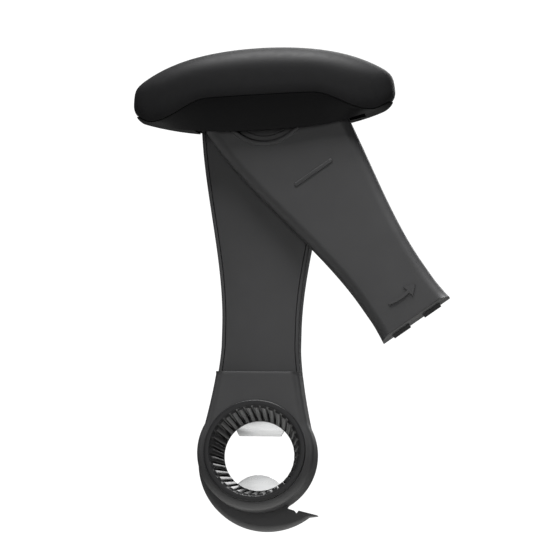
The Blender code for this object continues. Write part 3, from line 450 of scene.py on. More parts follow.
skin_height = add_node(tree, "ShaderNodeMath", links={0: grain.outputs[0], 1: cells.outputs["Distance"]},
                       operation="SUBTRACT")
skin_relief = add_node(tree, "ShaderNodeBump", {"Strength": 0.30, "Distance": 0.10 * MM},
                       {"Height": skin_height.outputs[0]})
tree.links.new(skin_relief.outputs["Normal"], shader.inputs["Normal"])

# %% [markdown]
# ### Polypropylene
#
# The base under the pad is polypropylene, a softer and slightly waxy plastic. It is smoother
# than the nylon, with a faint mottle from the mould's finer sanding.

# %% Sanded polypropylene
SANDING_GRAIN = 0.7 * MM

polypropylene, tree, shader, where = start_finish("sanded_polypropylene", 0.46)
shader.inputs["Specular IOR Level"].default_value = 0.08
shader.inputs["IOR"].default_value = 1.49
mottle = add_node(tree, "ShaderNodeTexNoise", {"Scale": 1 / (14 * MM), "Detail": 4.0}, {"Vector": where})
base_tint = add_node(tree, "ShaderNodeMix", {"A": hex_colour("080809"), "B": hex_colour("0C0C0D")},
                     {"Factor": mottle.outputs["Fac"]}, data_type="RGBA")
tree.links.new(base_tint.outputs["Result"], shader.inputs["Base Color"])
wax = add_node(tree, "ShaderNodeMapRange", {"To Min": 0.40, "To Max": 0.52},
               {"Value": mottle.outputs["Fac"]})
tree.links.new(wax.outputs["Result"], shader.inputs["Roughness"])
sanding = add_node(tree, "ShaderNodeTexNoise", {"Scale": 1 / SANDING_GRAIN, "Detail": 1.0},
                   {"Vector": where})
base_relief = add_node(tree, "ShaderNodeBump", {"Strength": 0.15, "Distance": 0.03 * MM},
                       {"Height": sanding.outputs["Fac"]})
tree.links.new(base_relief.outputs["Normal"], shader.inputs["Normal"])

# %% [markdown]
# ### Acetal
#
# The bush and the cover's clip are acetal, a hard, slippery bearing plastic. It comes out of
# a polished mould, so its highlights are the sharpest of the black plastics.

# %% Moulded acetal
acetal, tree, shader, where = start_finish("moulded_acetal", 0.32)
shader.inputs["Specular IOR Level"].default_value = 0.3
shader.inputs["IOR"].default_value = 1.48
swirl = add_node(tree, "ShaderNodeTexNoise", {"Scale": 1 / (5 * MM), "Detail": 3.0}, {"Vector": where})
acetal_tint = add_node(tree, "ShaderNodeMix", {"A": hex_colour("1A1A1B"), "B": hex_colour("202021")},
                       {"Factor": swirl.outputs["Fac"]}, data_type="RGBA")
tree.links.new(acetal_tint.outputs["Result"], shader.inputs["Base Color"])
slip = add_node(tree, "ShaderNodeMapRange", {"To Min": 0.26, "To Max": 0.40},
                {"Value": swirl.outputs["Fac"]})
tree.links.new(slip.outputs["Result"], shader.inputs["Roughness"])

# %% [markdown]
# ### Zinc-plated steel
#
# The key plate, the saddle and the spine are cold-rolled steel with a bright zinc plating.
# Rolling leaves fine lines along the sheet, 0.4 mm apart here so that they show, and the
# plating clouds a little from place to place.

# %% Bright zinc
ROLL_SPACING = 0.4 * MM
ROLL_LENGTH = 30 * MM

zinc, tree, shader, where = start_finish("bright_zinc_plate", 0.3, 1.0)
stretch = add_node(tree, "ShaderNodeMapping",
                   {"Scale": (1 / ROLL_LENGTH, 1 / ROLL_SPACING, 1 / ROLL_SPACING)}, {"Vector": where})
rolling = add_node(tree, "ShaderNodeTexNoise", {"Scale": 1.0, "Detail": 2.0},
                   {"Vector": stretch.outputs["Vector"]})
cloud = add_node(tree, "ShaderNodeTexNoise", {"Scale": 1 / (9 * MM), "Detail": 3.0}, {"Vector": where})
zinc_tint = add_node(tree, "ShaderNodeMix", {"A": hex_colour("E6E8EA"), "B": hex_colour("F4F4F2")},
                     {"Factor": cloud.outputs["Fac"]}, data_type="RGBA")
tree.links.new(zinc_tint.outputs["Result"], shader.inputs["Base Color"])
polish = add_node(tree, "ShaderNodeMapRange", {"To Min": 0.22, "To Max": 0.38},
                  {"Value": rolling.outputs["Fac"]})
tree.links.new(polish.outputs["Result"], shader.inputs["Roughness"])
roll_relief = add_node(tree, "ShaderNodeBump", {"Strength": 0.12, "Distance": 0.02 * MM},
                       {"Height": rolling.outputs["Fac"]})
tree.links.new(roll_relief.outputs["Normal"], shader.inputs["Normal"])

# %% [markdown]
# ### Phosphated steel
#
# The screws, the bolt and the carrier plate have a dark phosphate coat, a thin crystal
# layer with oil in it. It is grey-black, half dull, and speckled at about 0.8 mm.

# %% Phosphate coat
PHOSPHATE_SPECKLE = 0.8 * MM

phosphate, tree, shader, where = start_finish("phosphated_steel", 0.45, 0.85)
speckle = add_node(tree, "ShaderNodeTexVoronoi", {"Scale": 1 / PHOSPHATE_SPECKLE}, {"Vector": where})
coat_tint = add_node(tree, "ShaderNodeMix", {"A": hex_colour("26272A"), "B": hex_colour("38393B")},
                     {"Factor": speckle.outputs["Distance"]}, data_type="RGBA")
tree.links.new(coat_tint.outputs["Result"], shader.inputs["Base Color"])
oil = add_node(tree, "ShaderNodeMapRange", {"To Min": 0.36, "To Max": 0.56},
               {"Value": speckle.outputs["Distance"]})
tree.links.new(oil.outputs["Result"], shader.inputs["Roughness"])

# %% [markdown]
# ## Finishes for the solids that stay as they are
#
# Inner pieces such as the spine, the sleeve and the washers already have their final shape.
# Each takes the finish of its slot in the frame's record.

# %% Dress the frame's own solids
slot_finish = {
    "arm_plastic": nylon,
    "cover_plastic": nylon,
    "base_plastic": polypropylene,
    "soft_top": foam_skin,
    "bush_plastic": acetal,
    "zinc_steel": zinc,
    "black_steel": phosphate,
}
for part in frame["record"]["subparts"]:
    solid = cad_nodes[part["node"]]
    solid.data.materials.clear()
    solid.data.materials.append(slot_finish[part["material_slot"]])
print("finishes:", len(slot_finish))

# %% [markdown]
# ## The upright arm
#
# The arm is a shallow tray with a flat face let into it, so a thin line runs round the face
# just inside the rim. Its sides sweep in from the head to a waist, then out again into the
# hub. One function gives the half-width at any height, and every outline is drawn from it.

# %% How wide the arm is at each height
HEAD_HALF_WIDTH = 64.0 * MM
WAIST_HALF_WIDTH = 37.4 * MM
HEAD_TAPER = 218 * MM      # how far below the pivot the head has narrowed to the waist
HEAD_RISE = 20 * MM        # the head's top edge above the pivot
COLLAR_TOP = 77 * MM       # the step between hub and arm, above the hub's axis
COLLAR_FLARE = 105 * MM    # the height over which the waist widens into the hub
HUB_RADIUS = 56.4 * MM
ARM_WALL = 3.2 * MM
ARM_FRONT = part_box("arm_shell")[0].y
FIT = 0.3 * MM
ARM_STEPS = 56


def arm_half_width(height):
    """Half the arm's width at a height above the hub's axis."""
    narrowing = smooth_share((ARM_LENGTH - height) / HEAD_TAPER)
    flare = min(1.0, max(0.0, (COLLAR_FLARE - height) / COLLAR_FLARE))
    width = HEAD_HALF_WIDTH + (WAIST_HALF_WIDTH - HEAD_HALF_WIDTH) * narrowing
    width += (HUB_RADIUS - WAIST_HALF_WIDTH) * flare ** 1.5
    return max(width, math.sqrt(max(0.0, HUB_RADIUS ** 2 - height ** 2)))


def arm_side(low, high, steps=ARM_STEPS, inset=0.0):
    """The arm's right side from a low height up to a high one."""
    heights = [low + (high - low) * i / steps for i in range(steps + 1)]
    return [(arm_half_width(z) - inset, z) for z in heights]


print(f"waist {2 * arm_half_width(0.14) / MM:.1f} mm wide")

# %% The tray
RIM_ROUNDING = 1.0 * MM
arm_low = COLLAR_TOP + FIT
arm_high = ARM_LENGTH + HEAD_RISE

side = arm_side(arm_low, arm_high)
tray = plate("arm_tray", [side + mirrored(side)], ARM_FRONT, 0.0, ARM_PLACE)
for depth in (ARM_FRONT, 0.0):
    round_edges(tray, depth, RIM_ROUNDING, 4)
side = arm_side(arm_low - ARM_WALL, arm_high - ARM_WALL, inset=ARM_WALL)
combine(tray, plate("tray_pocket", [side + mirrored(side)], ARM_FRONT - 5 * MM, -ARM_WALL, ARM_PLACE))
pivot_hole = [(0.0, 0.04), (6.6 * MM, 0.04), (6.6 * MM, -0.01), (0.0, -0.01)]
combine(tray, turned("tray_pivot_hole", pivot_hole, (0, 0, ARM_LENGTH), ARM_PLACE))
complete(tray, nylon, "arm", "arm_plastic", "arm_shell")

# %% The face let into the tray
FACE_GAP = 0.45 * MM
FACE_ROUNDING = 0.7 * MM
FACE_DEPTH = 3.0 * MM

side = arm_side(arm_low + FIT, arm_high - ARM_WALL - FACE_GAP, inset=ARM_WALL + FACE_GAP)
face = plate("arm_face_panel", [side + mirrored(side)], ARM_FRONT + 0.2 * MM, ARM_FRONT + FACE_DEPTH,
             ARM_PLACE)
round_edges(face, ARM_FRONT + 0.2 * MM, FACE_ROUNDING, 4)
combine(face, turned("face_pivot_hole", pivot_hole, (0, 0, ARM_LENGTH), ARM_PLACE))
complete(face, nylon, "arm", "arm_plastic", "arm_face")

# %% [markdown]
# ## The hub
#
# The hub's housing is a thick ring with a collar that carries the arm. Its front edge is
# rounded generously all round, but the collar's top edge is nearly sharp, since the arm
# and the closed cover stand on it. From the rear it is cut back for the claw's ring.

# %% The housing
HUB_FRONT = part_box("hub_housing")[0].y
HUB_ROUNDING = 8.5 * MM
STEP_SHARE = 0.08          # how much of that rounding the collar's top edge has
SPIGOT_RADIUS = 49.2 * MM
SPIGOT_TOP = 40 * MM
SPIGOT_DEPTH = 12 * MM
FLANGE_RADIUS = 48.8 * MM
FLANGE_DEPTH = 1.8 * MM
BUSH_RADIUS = 46 * MM

side = arm_side(0.0, COLLAR_TOP, steps=40)
outline = arc((0, 0), HUB_RADIUS, 180.0, 360.0, 72)[:-1] + side + mirrored(side)[:-1]
housing = plate("hub_ring", [outline], HUB_FRONT, 0.0, ARM_PLACE)


def edge_share(ends):
    """The collar's top edge is rounded less than the rest."""
    return STEP_SHARE if all(end.z > COLLAR_TOP - 1e-5 for end in ends) else 1.0


round_edges(housing, HUB_FRONT, HUB_ROUNDING, 10, edge_share)
start = math.degrees(math.asin(SPIGOT_TOP / SPIGOT_RADIUS))
far = 1.5 * HUB_RADIUS
yoke = arc((0, 0), SPIGOT_RADIUS, start, -180.0 - start, 96)
yoke += [(-far, SPIGOT_TOP), (-far, -far), (far, -far), (far, SPIGOT_TOP)]
combine(housing, plate("yoke_room", [yoke], -SPIGOT_DEPTH, 5 * MM, ARM_PLACE))
seat = -HUB_FRONT - FLANGE_DEPTH
bore = [(0.0, 0.06), (FLANGE_RADIUS + FIT, 0.06), (FLANGE_RADIUS + FIT, seat), (BUSH_RADIUS + FIT, seat),
        (BUSH_RADIUS + FIT, -0.01), (0.0, -0.01)]
combine(housing, turned("bush_bore", bore, (0, 0, 0), ARM_PLACE, steps=128))
clip_low, clip_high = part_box("end_clip")
groove_front = clip_low.y - 1 * MM
groove_rear = clip_high.y + 1 * MM
for node in ("spine_screw_1", "spine_screw_2"):
    sink(housing, node, 4.1 * MM, 2.5 * MM)
combine(housing, block("tab_groove", (-28 * MM, groove_front, COLLAR_TOP - 2.6 * MM),
                       (far, groove_rear, COLLAR_TOP + 5 * MM), ARM_PLACE))
complete(housing, nylon, "arm", "arm_plastic", "hub_housing")

# %% [markdown]
# ## The toothed bush
#
# The bush is a flanged sleeve whose bore narrows towards the chair and has 36 teeth, which
# bite on the chair's cone. It is skinned from rings of points: plain circles outside, and
# toothed rings inside. A toothed ring moves out and in between the root and the tip radius,
# and each tooth has a rounded crest, because a moulded tooth can't be sharp.

# %% Rings of teeth
TEETH = 36
CREST = ((-0.30, 0.85), (-0.22, 1.0), (0.22, 1.0), (0.30, 0.85), (0.38, 0.15), (0.43, 0.0),
         (0.57, 0.0), (0.62, 0.15))  # place within a pitch, and height as a share of the tooth


def toothed_ring(root, tip, depth):
    """A loop of points at one depth, round the bush's axis."""
    points = []
    for tooth in range(TEETH):
        for share, rise in CREST:
            angle = 2 * math.pi * (tooth + share) / TEETH
            radius = root + (tip - root) * rise
            points.append((radius * math.cos(angle), depth, radius * math.sin(angle)))
    return points


def skin(name, loops, place, closed=False):
    """A surface through a run of equal loops; closed joins the last loop to the first."""
    work = bmesh.new()
    rows = [[work.verts.new(point) for point in loop] for loop in loops]
    pairs = list(zip(rows, rows[1:])) + ([(rows[-1], rows[0])] if closed else [])
    count = len(loops[0])
    for low, high in pairs:
        for i in range(count):
            j = (i + 1) % count
            work.faces.new((low[i], low[j], high[j], high[i]))
    if not closed:
        work.faces.new(rows[0])
        work.faces.new(rows[-1])
    bmesh.ops.recalc_face_normals(work, faces=work.faces)
    mesh = bpy.data.meshes.new(name)
    work.to_mesh(mesh)
    work.free()
    return link(name, mesh, place)


# %% The bush
BORE_ROOT_FRONT = 43.5 * MM
BORE_TIP_FRONT = 41.2 * MM
BORE_ROOT_REAR = 37.8 * MM
BORE_TIP_REAR = 34.0 * MM
LIP = 0.8 * MM             # radius of the flange's rounded edges
LAND = 1 * MM              # the plain ring that closes the grooves at the rear
bush_low, bush_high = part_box("toothed_bush")
bush_front, bush_rear = bush_low.y, bush_high.y

loops = [toothed_ring(radius, radius, depth) for radius, depth in (
    (BUSH_RADIUS, bush_rear),
    (BUSH_RADIUS, -seat - FIT),
    (FLANGE_RADIUS, -seat - FIT),
    (FLANGE_RADIUS, bush_front + LIP),
)]
for turn in (30, 60, 90):
    out = FLANGE_RADIUS - LIP * (1 - math.cos(math.radians(turn)))
    loops.append(toothed_ring(out, out, bush_front + LIP * (1 - math.sin(math.radians(turn)))))
for turn in (0, 30, 60, 90):
    inside = BORE_ROOT_FRONT + LIP * (1 - math.sin(math.radians(turn)))
    loops.append(toothed_ring(inside, inside, bush_front + LIP * (1 - math.cos(math.radians(turn)))))
teeth_from, teeth_full = bush_front + 1.6 * LIP, bush_front + 4 * LIP
loops.append(toothed_ring(BORE_ROOT_FRONT, BORE_ROOT_FRONT, teeth_from))
loops.append(toothed_ring(BORE_ROOT_FRONT - 0.1 * LIP, BORE_TIP_FRONT + 0.3 * LIP, teeth_from + 0.8 * LIP))
loops.append(toothed_ring(BORE_ROOT_FRONT - LIP / 4, BORE_TIP_FRONT, teeth_full))
loops.append(toothed_ring(BORE_ROOT_REAR, BORE_TIP_REAR, bush_rear - 2 * LAND))
loops.append(toothed_ring(BORE_TIP_REAR, BORE_TIP_REAR - LAND / 4, bush_rear - LAND))
loops.append(toothed_ring(BORE_TIP_REAR - LAND / 4, BORE_TIP_REAR - LAND / 4, bush_rear))
complete(skin("cone_bush", loops, ARM_PLACE, closed=True), acetal, "arm", "bush_plastic",
         "toothed_bush", sharp=40)

# %% [markdown]
# ## The key plate
#
# A stamped steel plate sits behind the teeth. Its opening is round but for a flat tab above
# and a rounded tab below, which key the arm to the chair at the right angle. Stamping rolls
# the plate's edges over slightly, and that thin rounding is what catches the light.

# %% The plate
KEY_OPENING = 38.4 * MM
KEY_FLAT_HEIGHT = 19.5 * MM
KEY_FLAT_HALF = 20.3 * MM
KEY_SHOULDER = 4.2 * MM
KEY_ROUND_TOP = -18.3 * MM
KEY_ROUND_RADIUS = 28 * MM
STAMPED_EDGE = 0.3 * MM
plate_low, plate_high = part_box("key_plate")

corner = KEY_FLAT_HALF + KEY_SHOULDER
flat = [(corner, math.sqrt(KEY_OPENING ** 2 - corner ** 2)),
        (KEY_FLAT_HALF + 0.57 * KEY_SHOULDER, KEY_FLAT_HEIGHT + KEY_SHOULDER),
        (KEY_FLAT_HALF, KEY_FLAT_HEIGHT)]
centre = KEY_ROUND_TOP - KEY_ROUND_RADIUS
meet = (KEY_OPENING ** 2 - KEY_ROUND_RADIUS ** 2 + centre ** 2) / (2 * centre)
reach = math.sqrt(KEY_OPENING ** 2 - meet ** 2)
opening = arc((0, 0), KEY_OPENING, math.degrees(math.atan2(meet, reach)),
              math.degrees(math.atan2(flat[0][1], flat[0][0])), 32) + flat[1:]
opening += mirrored(opening)
spread = math.degrees(math.atan2(meet - centre, reach))
opening += arc((0, centre), KEY_ROUND_RADIUS, 180.0 - spread, spread, 40)[1:-1]
rim = arc((0, 0), BUSH_RADIUS - FIT, 0, 360, 128)[:-1]
key = plate("keyed_plate", [rim, opening], plate_low.y, plate_high.y, ARM_PLACE)
for depth in (plate_low.y, plate_high.y):
    round_edges(key, depth, STAMPED_EDGE, 3)
complete(key, zinc, "arm", "zinc_steel", "key_plate")

# %% [markdown]
# ## The stop claw
#
# A yoke wraps the hub's rear spigot and swells below into a crescent that ends in a claw.
# The claw limits how far the arm can be folded up on the chair. Its front is rounded like
# a bar, and the notch under the hub's ring is where the chair's pin comes to rest.

# %% The claw
CLAW_RADIUS = 67 * MM
CLAW_CENTRE = (8.5 * MM, -6 * MM)
CLAW_TIP = (58.5 * MM, -57.6 * MM)
CLAW_MOUTH = [(28.3 * MM, -50.0 * MM), (30.8 * MM, -51.7 * MM), (36.1 * MM, -53.3 * MM),
              (38.4 * MM, -56.1 * MM), (40.4 * MM, -53.3 * MM)]
CLAW_ROUNDING = 5.5 * MM
CLAW_FADE = 45 * MM        # how far from the tip the rounding is full

top = SPIGOT_TOP - FIT
inner = SPIGOT_RADIUS + FIT
start = math.degrees(math.asin(top / inner))
cradle = arc((0, 0), inner, 180.0 - start, 360.0 + start, 96)
flank = arm_side(0.0, top, steps=16)
ring = arc((0, 0), HUB_RADIUS, 0.0, -58.0, 30)[1:]
tip_angle = math.degrees(math.atan2(CLAW_TIP[1] - CLAW_CENTRE[1], CLAW_TIP[0] - CLAW_CENTRE[0]))
crescent = arc(CLAW_CENTRE, CLAW_RADIUS, tip_angle - 6.0, -210.0, 80)
left = [point for point in mirrored(flank)[::-1] if point[1] > 31 * MM]
claw = plate("hub_claw", [flank[::-1] + ring + CLAW_MOUTH + [CLAW_TIP] + crescent + left + cradle],
             -SPIGOT_DEPTH + FIT, 0.0, ARM_PLACE)


def claw_share(ends):
    """Only the crescent is rounded, and less and less towards the claw's tip."""
    if any(abs(math.hypot(end.x - CLAW_CENTRE[0], end.z - CLAW_CENTRE[1]) - CLAW_RADIUS) > 0.2 * MM
           for end in ends):
        return 0.0
    away = min(math.hypot(end.x - CLAW_TIP[0], end.z - CLAW_TIP[1]) for end in ends)
    return min(1.0, 0.1 + away / CLAW_FADE)


round_edges(claw, -SPIGOT_DEPTH + FIT, CLAW_ROUNDING, 8, claw_share)
for node in ("claw_screw_1", "claw_screw_2", "claw_screw_3"):
    sink(claw, node, 2.6 * MM, 3.0 * MM)
complete(claw, nylon, "arm", "arm_plastic", "stop_claw")

# %% [markdown]
# ## The boss that the cover turns on
#
# A disc on the arm's head carries the cover's bearing ring, and sits a little behind the
# cover's front. Its top is cut off flat where the pad's base passes over it.

# %% The disc
DISC_RADIUS = 38.2 * MM
DISC_ROUNDING = 1.6 * MM
DISC_HOLE = 6.6 * MM       # radius of the hole for the pivot
disc_low, disc_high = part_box("boss_disc")
front, rear = -disc_low.y, -disc_high.y
dish = 0.8 * MM
profile = [(DISC_HOLE, front), (9 * MM, front), (10 * MM, front - dish),
           (DISC_RADIUS - 6 * MM, front - dish), (DISC_RADIUS - 5 * MM, front)]
for turn in (0, 30, 60, 90):
    a = math.radians(turn)
    profile.append((DISC_RADIUS - DISC_ROUNDING * (1 - math.sin(a)),
                    front - DISC_ROUNDING * (1 - math.cos(a))))
profile += [(DISC_RADIUS, rear), (DISC_HOLE, rear)]
disc = turned("turning_disc", profile, (0, 0, ARM_LENGTH), ARM_PLACE, steps=128)
combine(disc, block("disc_flat", (-0.05, -0.06, ARM_LENGTH + HEAD_RISE), (0.05, 0.01, ARM_LENGTH + 0.05),
                    ARM_PLACE))
complete(disc, nylon, "arm", "arm_plastic", "boss_disc")

# %% [markdown]
# ## The swing cover
#
# The cover has the arm's own outline, a hollow back and a soft front edge. A round bearing
# ring near its top turns on the boss. A raised bar gives the fingers something to push on,
# and a raised curved arrow shows which way it opens. The ring, the bar and the arrow are
# separate shapes that are joined on before the openings are cut.

# %% The cover's body
COVER_FRONT = -pivot.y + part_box("boss_disc")[0].y - 3.0 * MM
COVER_DEPTH = 17.7 * MM
COVER_BACK = COVER_FRONT + COVER_DEPTH
COVER_ROUNDING = 10.5 * MM
HOLLOW_ROUNDING = 4 * MM
COVER_WALL = 2.5 * MM
COVER_INSET = 1.0 * MM
SHOULDER_RISE = 10 * MM    # the closed cover's left shoulder above the pivot
SHOULDER_DROP = 25 * MM    # its right shoulder below the pivot
RING_INNER = DISC_RADIUS + 0.5 * MM
RING_OUTER = RING_INNER + 4.3 * MM
RING_PROUD = 1.2 * MM
BOSS_RADIUS = 36 * MM
foot_corner = arm_half_width(COLLAR_TOP)
COVER_FOOT = -math.sqrt((ARM_LENGTH - COLLAR_TOP - 0.5 * MM) ** 2 - foot_corner ** 2)


def cover_side(low, high, inset):
    """The cover's right side, whose heights are counted from the pivot."""
    return [(x, z - ARM_LENGTH) for x, z in arm_side(ARM_LENGTH + low, ARM_LENGTH + high, inset=inset)]


side = cover_side(COVER_FOOT, SHOULDER_RISE, COVER_INSET)
cover = plate("swing_panel", [side + mirrored(side)], COVER_FRONT, COVER_BACK, COVER_PLACE)


def foot_share(ends):
    """The foot's edge is rounded less than the long sides, and the top's is cut off later."""
    if all(end.z > SHOULDER_RISE - 1e-5 for end in ends):
        return 0.0
    return 0.25 if all(end.z < COVER_FOOT + 1e-5 for end in ends) else 1.0


round_edges(cover, COVER_FRONT, COVER_ROUNDING, 10, foot_share)
side = cover_side(COVER_FOOT + COVER_WALL, SHOULDER_RISE + 10 * MM, COVER_INSET + COVER_WALL)
hollow = plate("cover_hollow", [side + mirrored(side)], COVER_FRONT + COVER_WALL, COVER_BACK + 5 * MM,
               COVER_PLACE)
round_edges(hollow, COVER_FRONT + COVER_WALL, HOLLOW_ROUNDING, 5)
combine(cover, hollow)

# %% The bearing ring
ring_front = -COVER_FRONT + RING_PROUD
boss_face = -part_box("boss_disc")[1].y
soft = 1.0 * MM
profile = [(RING_INNER, ring_front - soft / 2), (RING_INNER + 0.15 * soft, ring_front - 0.15 * soft),
           (RING_INNER + soft / 2, ring_front), (RING_OUTER - 1.4 * soft, ring_front),
           (RING_OUTER - 0.6 * soft, ring_front - 0.25 * soft),
           (RING_OUTER - 0.1 * soft, -COVER_FRONT + 0.2 * soft),
           (RING_OUTER, -COVER_FRONT - 0.2 * soft),
           (RING_OUTER, -COVER_BACK), (BOSS_RADIUS + soft / 2, -COVER_BACK),
           (BOSS_RADIUS + soft / 2, boss_face - soft), (RING_INNER, boss_face - soft)]
combine(cover, turned("bearing_ring", profile, (0, 0, 0), COVER_PLACE, steps=128), "UNION")
hole = [(0.0, 0.08), (RING_INNER, 0.08), (RING_INNER, boss_face - soft), (0.0, boss_face - soft)]
combine(cover, turned("ring_hole", hole, (0, 0, 0), COVER_PLACE, steps=128))
far = HEAD_HALF_WIDTH + 20 * MM
shoulder = [(-far, SHOULDER_RISE - FIT), (-BOSS_RADIUS, SHOULDER_RISE - FIT),
            (RING_OUTER - 2.2 * MM, -0.3 * SHOULDER_RISE), (HEAD_HALF_WIDTH, -SHOULDER_DROP),
            (far, -SHOULDER_DROP), (far, far), (-far, far)]
combine(cover, plate("shoulder_trim", [shoulder], COVER_FRONT - 0.01, COVER_BACK + 0.01, COVER_PLACE))

# %% The bar and the arrow
RELIEF = 1.1 * MM
BAR_LENGTH = 44 * MM
BAR_WIDTH = 3.8 * MM
BAR_DROP = 85 * MM
ARROW_DROP = 235 * MM
ARROW_BEND = 44 * MM       # radius of the arrow's curved shaft
ARROW_HALF = 1.5 * MM
ARROW_HEAD = 9.8 * MM
ARROW_BARB = 6.3 * MM

half = (BAR_LENGTH - BAR_WIDTH) / 2
bar_line = arc((half, -BAR_DROP), BAR_WIDTH / 2, -90, 90, 14)
bar_line += arc((-half, -BAR_DROP), BAR_WIDTH / 2, 90, 270, 14)
bar = plate("finger_bar", [bar_line], COVER_FRONT - RELIEF, COVER_FRONT + COVER_WALL / 2, COVER_PLACE)
round_edges(bar, COVER_FRONT - RELIEF, 0.7 * RELIEF, 3)
combine(cover, bar, "UNION")

middle = (0.0, ARROW_BEND - ARROW_DROP)
shaft_start, shaft_end = -107.0, -78.0
along = math.radians(shaft_end)
base = [middle[k] + ARROW_BEND * (math.cos(along), math.sin(along))[k] for k in (0, 1)]
head = [(base[0] + s * ARROW_BARB * math.cos(along) - t * ARROW_HEAD * math.sin(along),
         base[1] + s * ARROW_BARB * math.sin(along) + t * ARROW_HEAD * math.cos(along))
        for s, t in ((1, 0), (0, 1), (-1, 0))]
arrow_line = (arc(middle, ARROW_BEND + ARROW_HALF, shaft_start, shaft_end, 20) + head
              + arc(middle, ARROW_BEND - ARROW_HALF, shaft_end, shaft_start, 20))
arrow = plate("opening_arrow", [arrow_line], COVER_FRONT - RELIEF, COVER_FRONT + COVER_WALL / 2, COVER_PLACE)
combine(cover, arrow, "UNION")

# %% The foot's notches, where the clip's tabs come out
TAB_WIDTH = 20 * MM
TAB_CENTRE = 17.5 * MM
for sign in (-1, 1):
    low = sign * TAB_CENTRE - TAB_WIDTH / 2
    combine(cover, block(f"tab_notch_{sign}", (low, clip_low.y - FIT, COVER_FOOT - 0.01),
                         (low + TAB_WIDTH, clip_high.y + FIT, COVER_FOOT + 0.01), COVER_PLACE))
complete(cover, nylon, "cover", "cover_plastic", "swing_cover", sharp=32)

# %% [markdown]
# ## The pad's shape
#
# The pad is an oval that droops at its ends. A few heights describe it: the crown, the seam
# between the soft top and the hard base, and the keel under the base. Each is a function of
# the place on the pad, so that the top and the base meet along the same seam.

# %% The oval, the seam, the crown and the keel
PAD_REST_TILT = math.radians(1.8)
PAD_TILTED = PAD_PLACE @ Matrix.Rotation(-PAD_REST_TILT, 4, "Y")
PAD_HALF_LENGTH = 128 * MM
PAD_HALF_WIDTH = 44 * MM
PAD_SHIFT = -2.5 * MM      # the pad's middle from the pivot
PAD_DEPTH_CENTRE = -20 * MM
PAD_POWER = 2.5            # 2 is an ellipse, and a larger power is squarer
PAD_CROWN = 56 * MM
PAD_CROWN_SAG = 12 * MM    # how much lower the crown is 100 mm from the middle
PAD_SIDE_SAG = 6 * MM
PAD_BULGE = 0.25           # the share of its height at which the pad is widest
SEAM_MIDDLE = 2.5 * MM
SEAM_DIP = -15.5 * MM
SEAM_TIP_RISE = 8.5 * MM
KEEL_MIDDLE = -29.5 * MM
KEEL_ENDS = -11.5 * MM
KEEL_REAR_RISE = 9 * MM
REAR_LIFT = 0.6            # the share of the seam's dip that is gone at the rear
KEEL_HALF_WIDTH = 27 * MM
PAD_STEPS = 128


# %% Loops round the pad
def oval(half_x, half_y, power=PAD_POWER):
    """A loop of (x, y) points."""
    points = []
    for i in range(PAD_STEPS):
        c, s = (f(2 * math.pi * (i + 0.5) / PAD_STEPS) for f in (math.cos, math.sin))
        points.append((half_x * math.copysign(abs(c) ** (2 / power), c),
                       half_y * math.copysign(abs(s) ** (2 / power), s)))
    return points


def rear_share(y):
    """0 at the pad's front edge and 1 at its rear edge. The pad droops more in front than behind."""
    return smooth_share((y + PAD_HALF_WIDTH) / (2 * PAD_HALF_WIDTH))


def seam_height(x, y):
    """The seam dips towards the pad's ends and climbs again at their tips."""
    share = abs(x) / PAD_HALF_LENGTH
    dip = (SEAM_DIP - SEAM_MIDDLE) * smooth_share((share - 0.40) / 0.42)
    dip *= 1 - REAR_LIFT * rear_share(y)
    return SEAM_MIDDLE + dip + SEAM_TIP_RISE * smooth_share((share - 0.84) / 0.16)


def crown_height(x, y):
    return PAD_CROWN - PAD_CROWN_SAG * (x / 0.1) ** 2 - PAD_SIDE_SAG * (y / PAD_HALF_WIDTH) ** 2


def keel_height(x, y):
    rise = (KEEL_ENDS - KEEL_MIDDLE) * abs(x / PAD_HALF_LENGTH) ** 2.5
    return KEEL_MIDDLE + rise + KEEL_REAR_RISE * rear_share(y)


def pad_loop(spread, level, lift=0.0):
    """A loop round the pad: its size as a share of the widest, and its height from seam to crown."""
    loop = []
    for x, y in oval(PAD_HALF_LENGTH * spread, PAD_HALF_WIDTH * spread):
        low = seam_height(x, y) + lift
        loop.append((x + PAD_SHIFT, y + PAD_DEPTH_CENTRE, low + (crown_height(x, y) - low) * level))
    return loop


print(f"pad {2 * PAD_HALF_LENGTH / MM:.0f} mm long")

# %% [markdown]
# ## The soft top
#
# The top is foam cast in a mould, so it has no cloth to simulate: its form is the mould's,
# a full, crowned oval whose sides turn in a little above the seam. The surface is skinned
# from loops that run from the hidden room for the carrier plate, round the rolled lower
# edge and up over the crown. A subdivision surface then melts the loops into one skin.

# %% Cast the soft top
EDGE_ROLL = 1.1 * MM       # radius of the rolled edge above the seam
TUCK = 0.02                # how much the sides turn in at the seam
LIP_WIDTH = 0.055          # the flat underside inside that edge, as a share of the pad
CARRIER_ROOM = 2 * MM
carrier_low, carrier_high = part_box("pad_carrier")
CAVITY_TOP = carrier_high.z - pivot.z + 1.5 * MM

room_x = (carrier_high.x - carrier_low.x) / 2 + CARRIER_ROOM
room_y = (carrier_high.y - carrier_low.y) / 2 + CARRIER_ROOM
room = oval(room_x, room_y, 4)
loops = [[(x * s, y * s + PAD_DEPTH_CENTRE, CAVITY_TOP) for x, y in room] for s in (0.3, 0.95, 1.0)]
loops.append([(x, y + PAD_DEPTH_CENTRE, SEAM_MIDDLE + CARRIER_ROOM) for x, y in room])
shrink = 1 - TUCK
loops.append(pad_loop(shrink - LIP_WIDTH, 0.0, FIT))
for turn in (0, 30, 60, 90):
    a = math.radians(turn)
    inset = EDGE_ROLL * (1 - math.sin(a)) / PAD_HALF_WIDTH
    loops.append(pad_loop(shrink - inset, 0.0, FIT + EDGE_ROLL * (1 - math.cos(a)) * 0.8))
for level in (0.07, 0.12, 0.18, 0.25):
    loops.append(pad_loop(1 - TUCK * ((PAD_BULGE - level) / PAD_BULGE) ** 2, level, FIT))
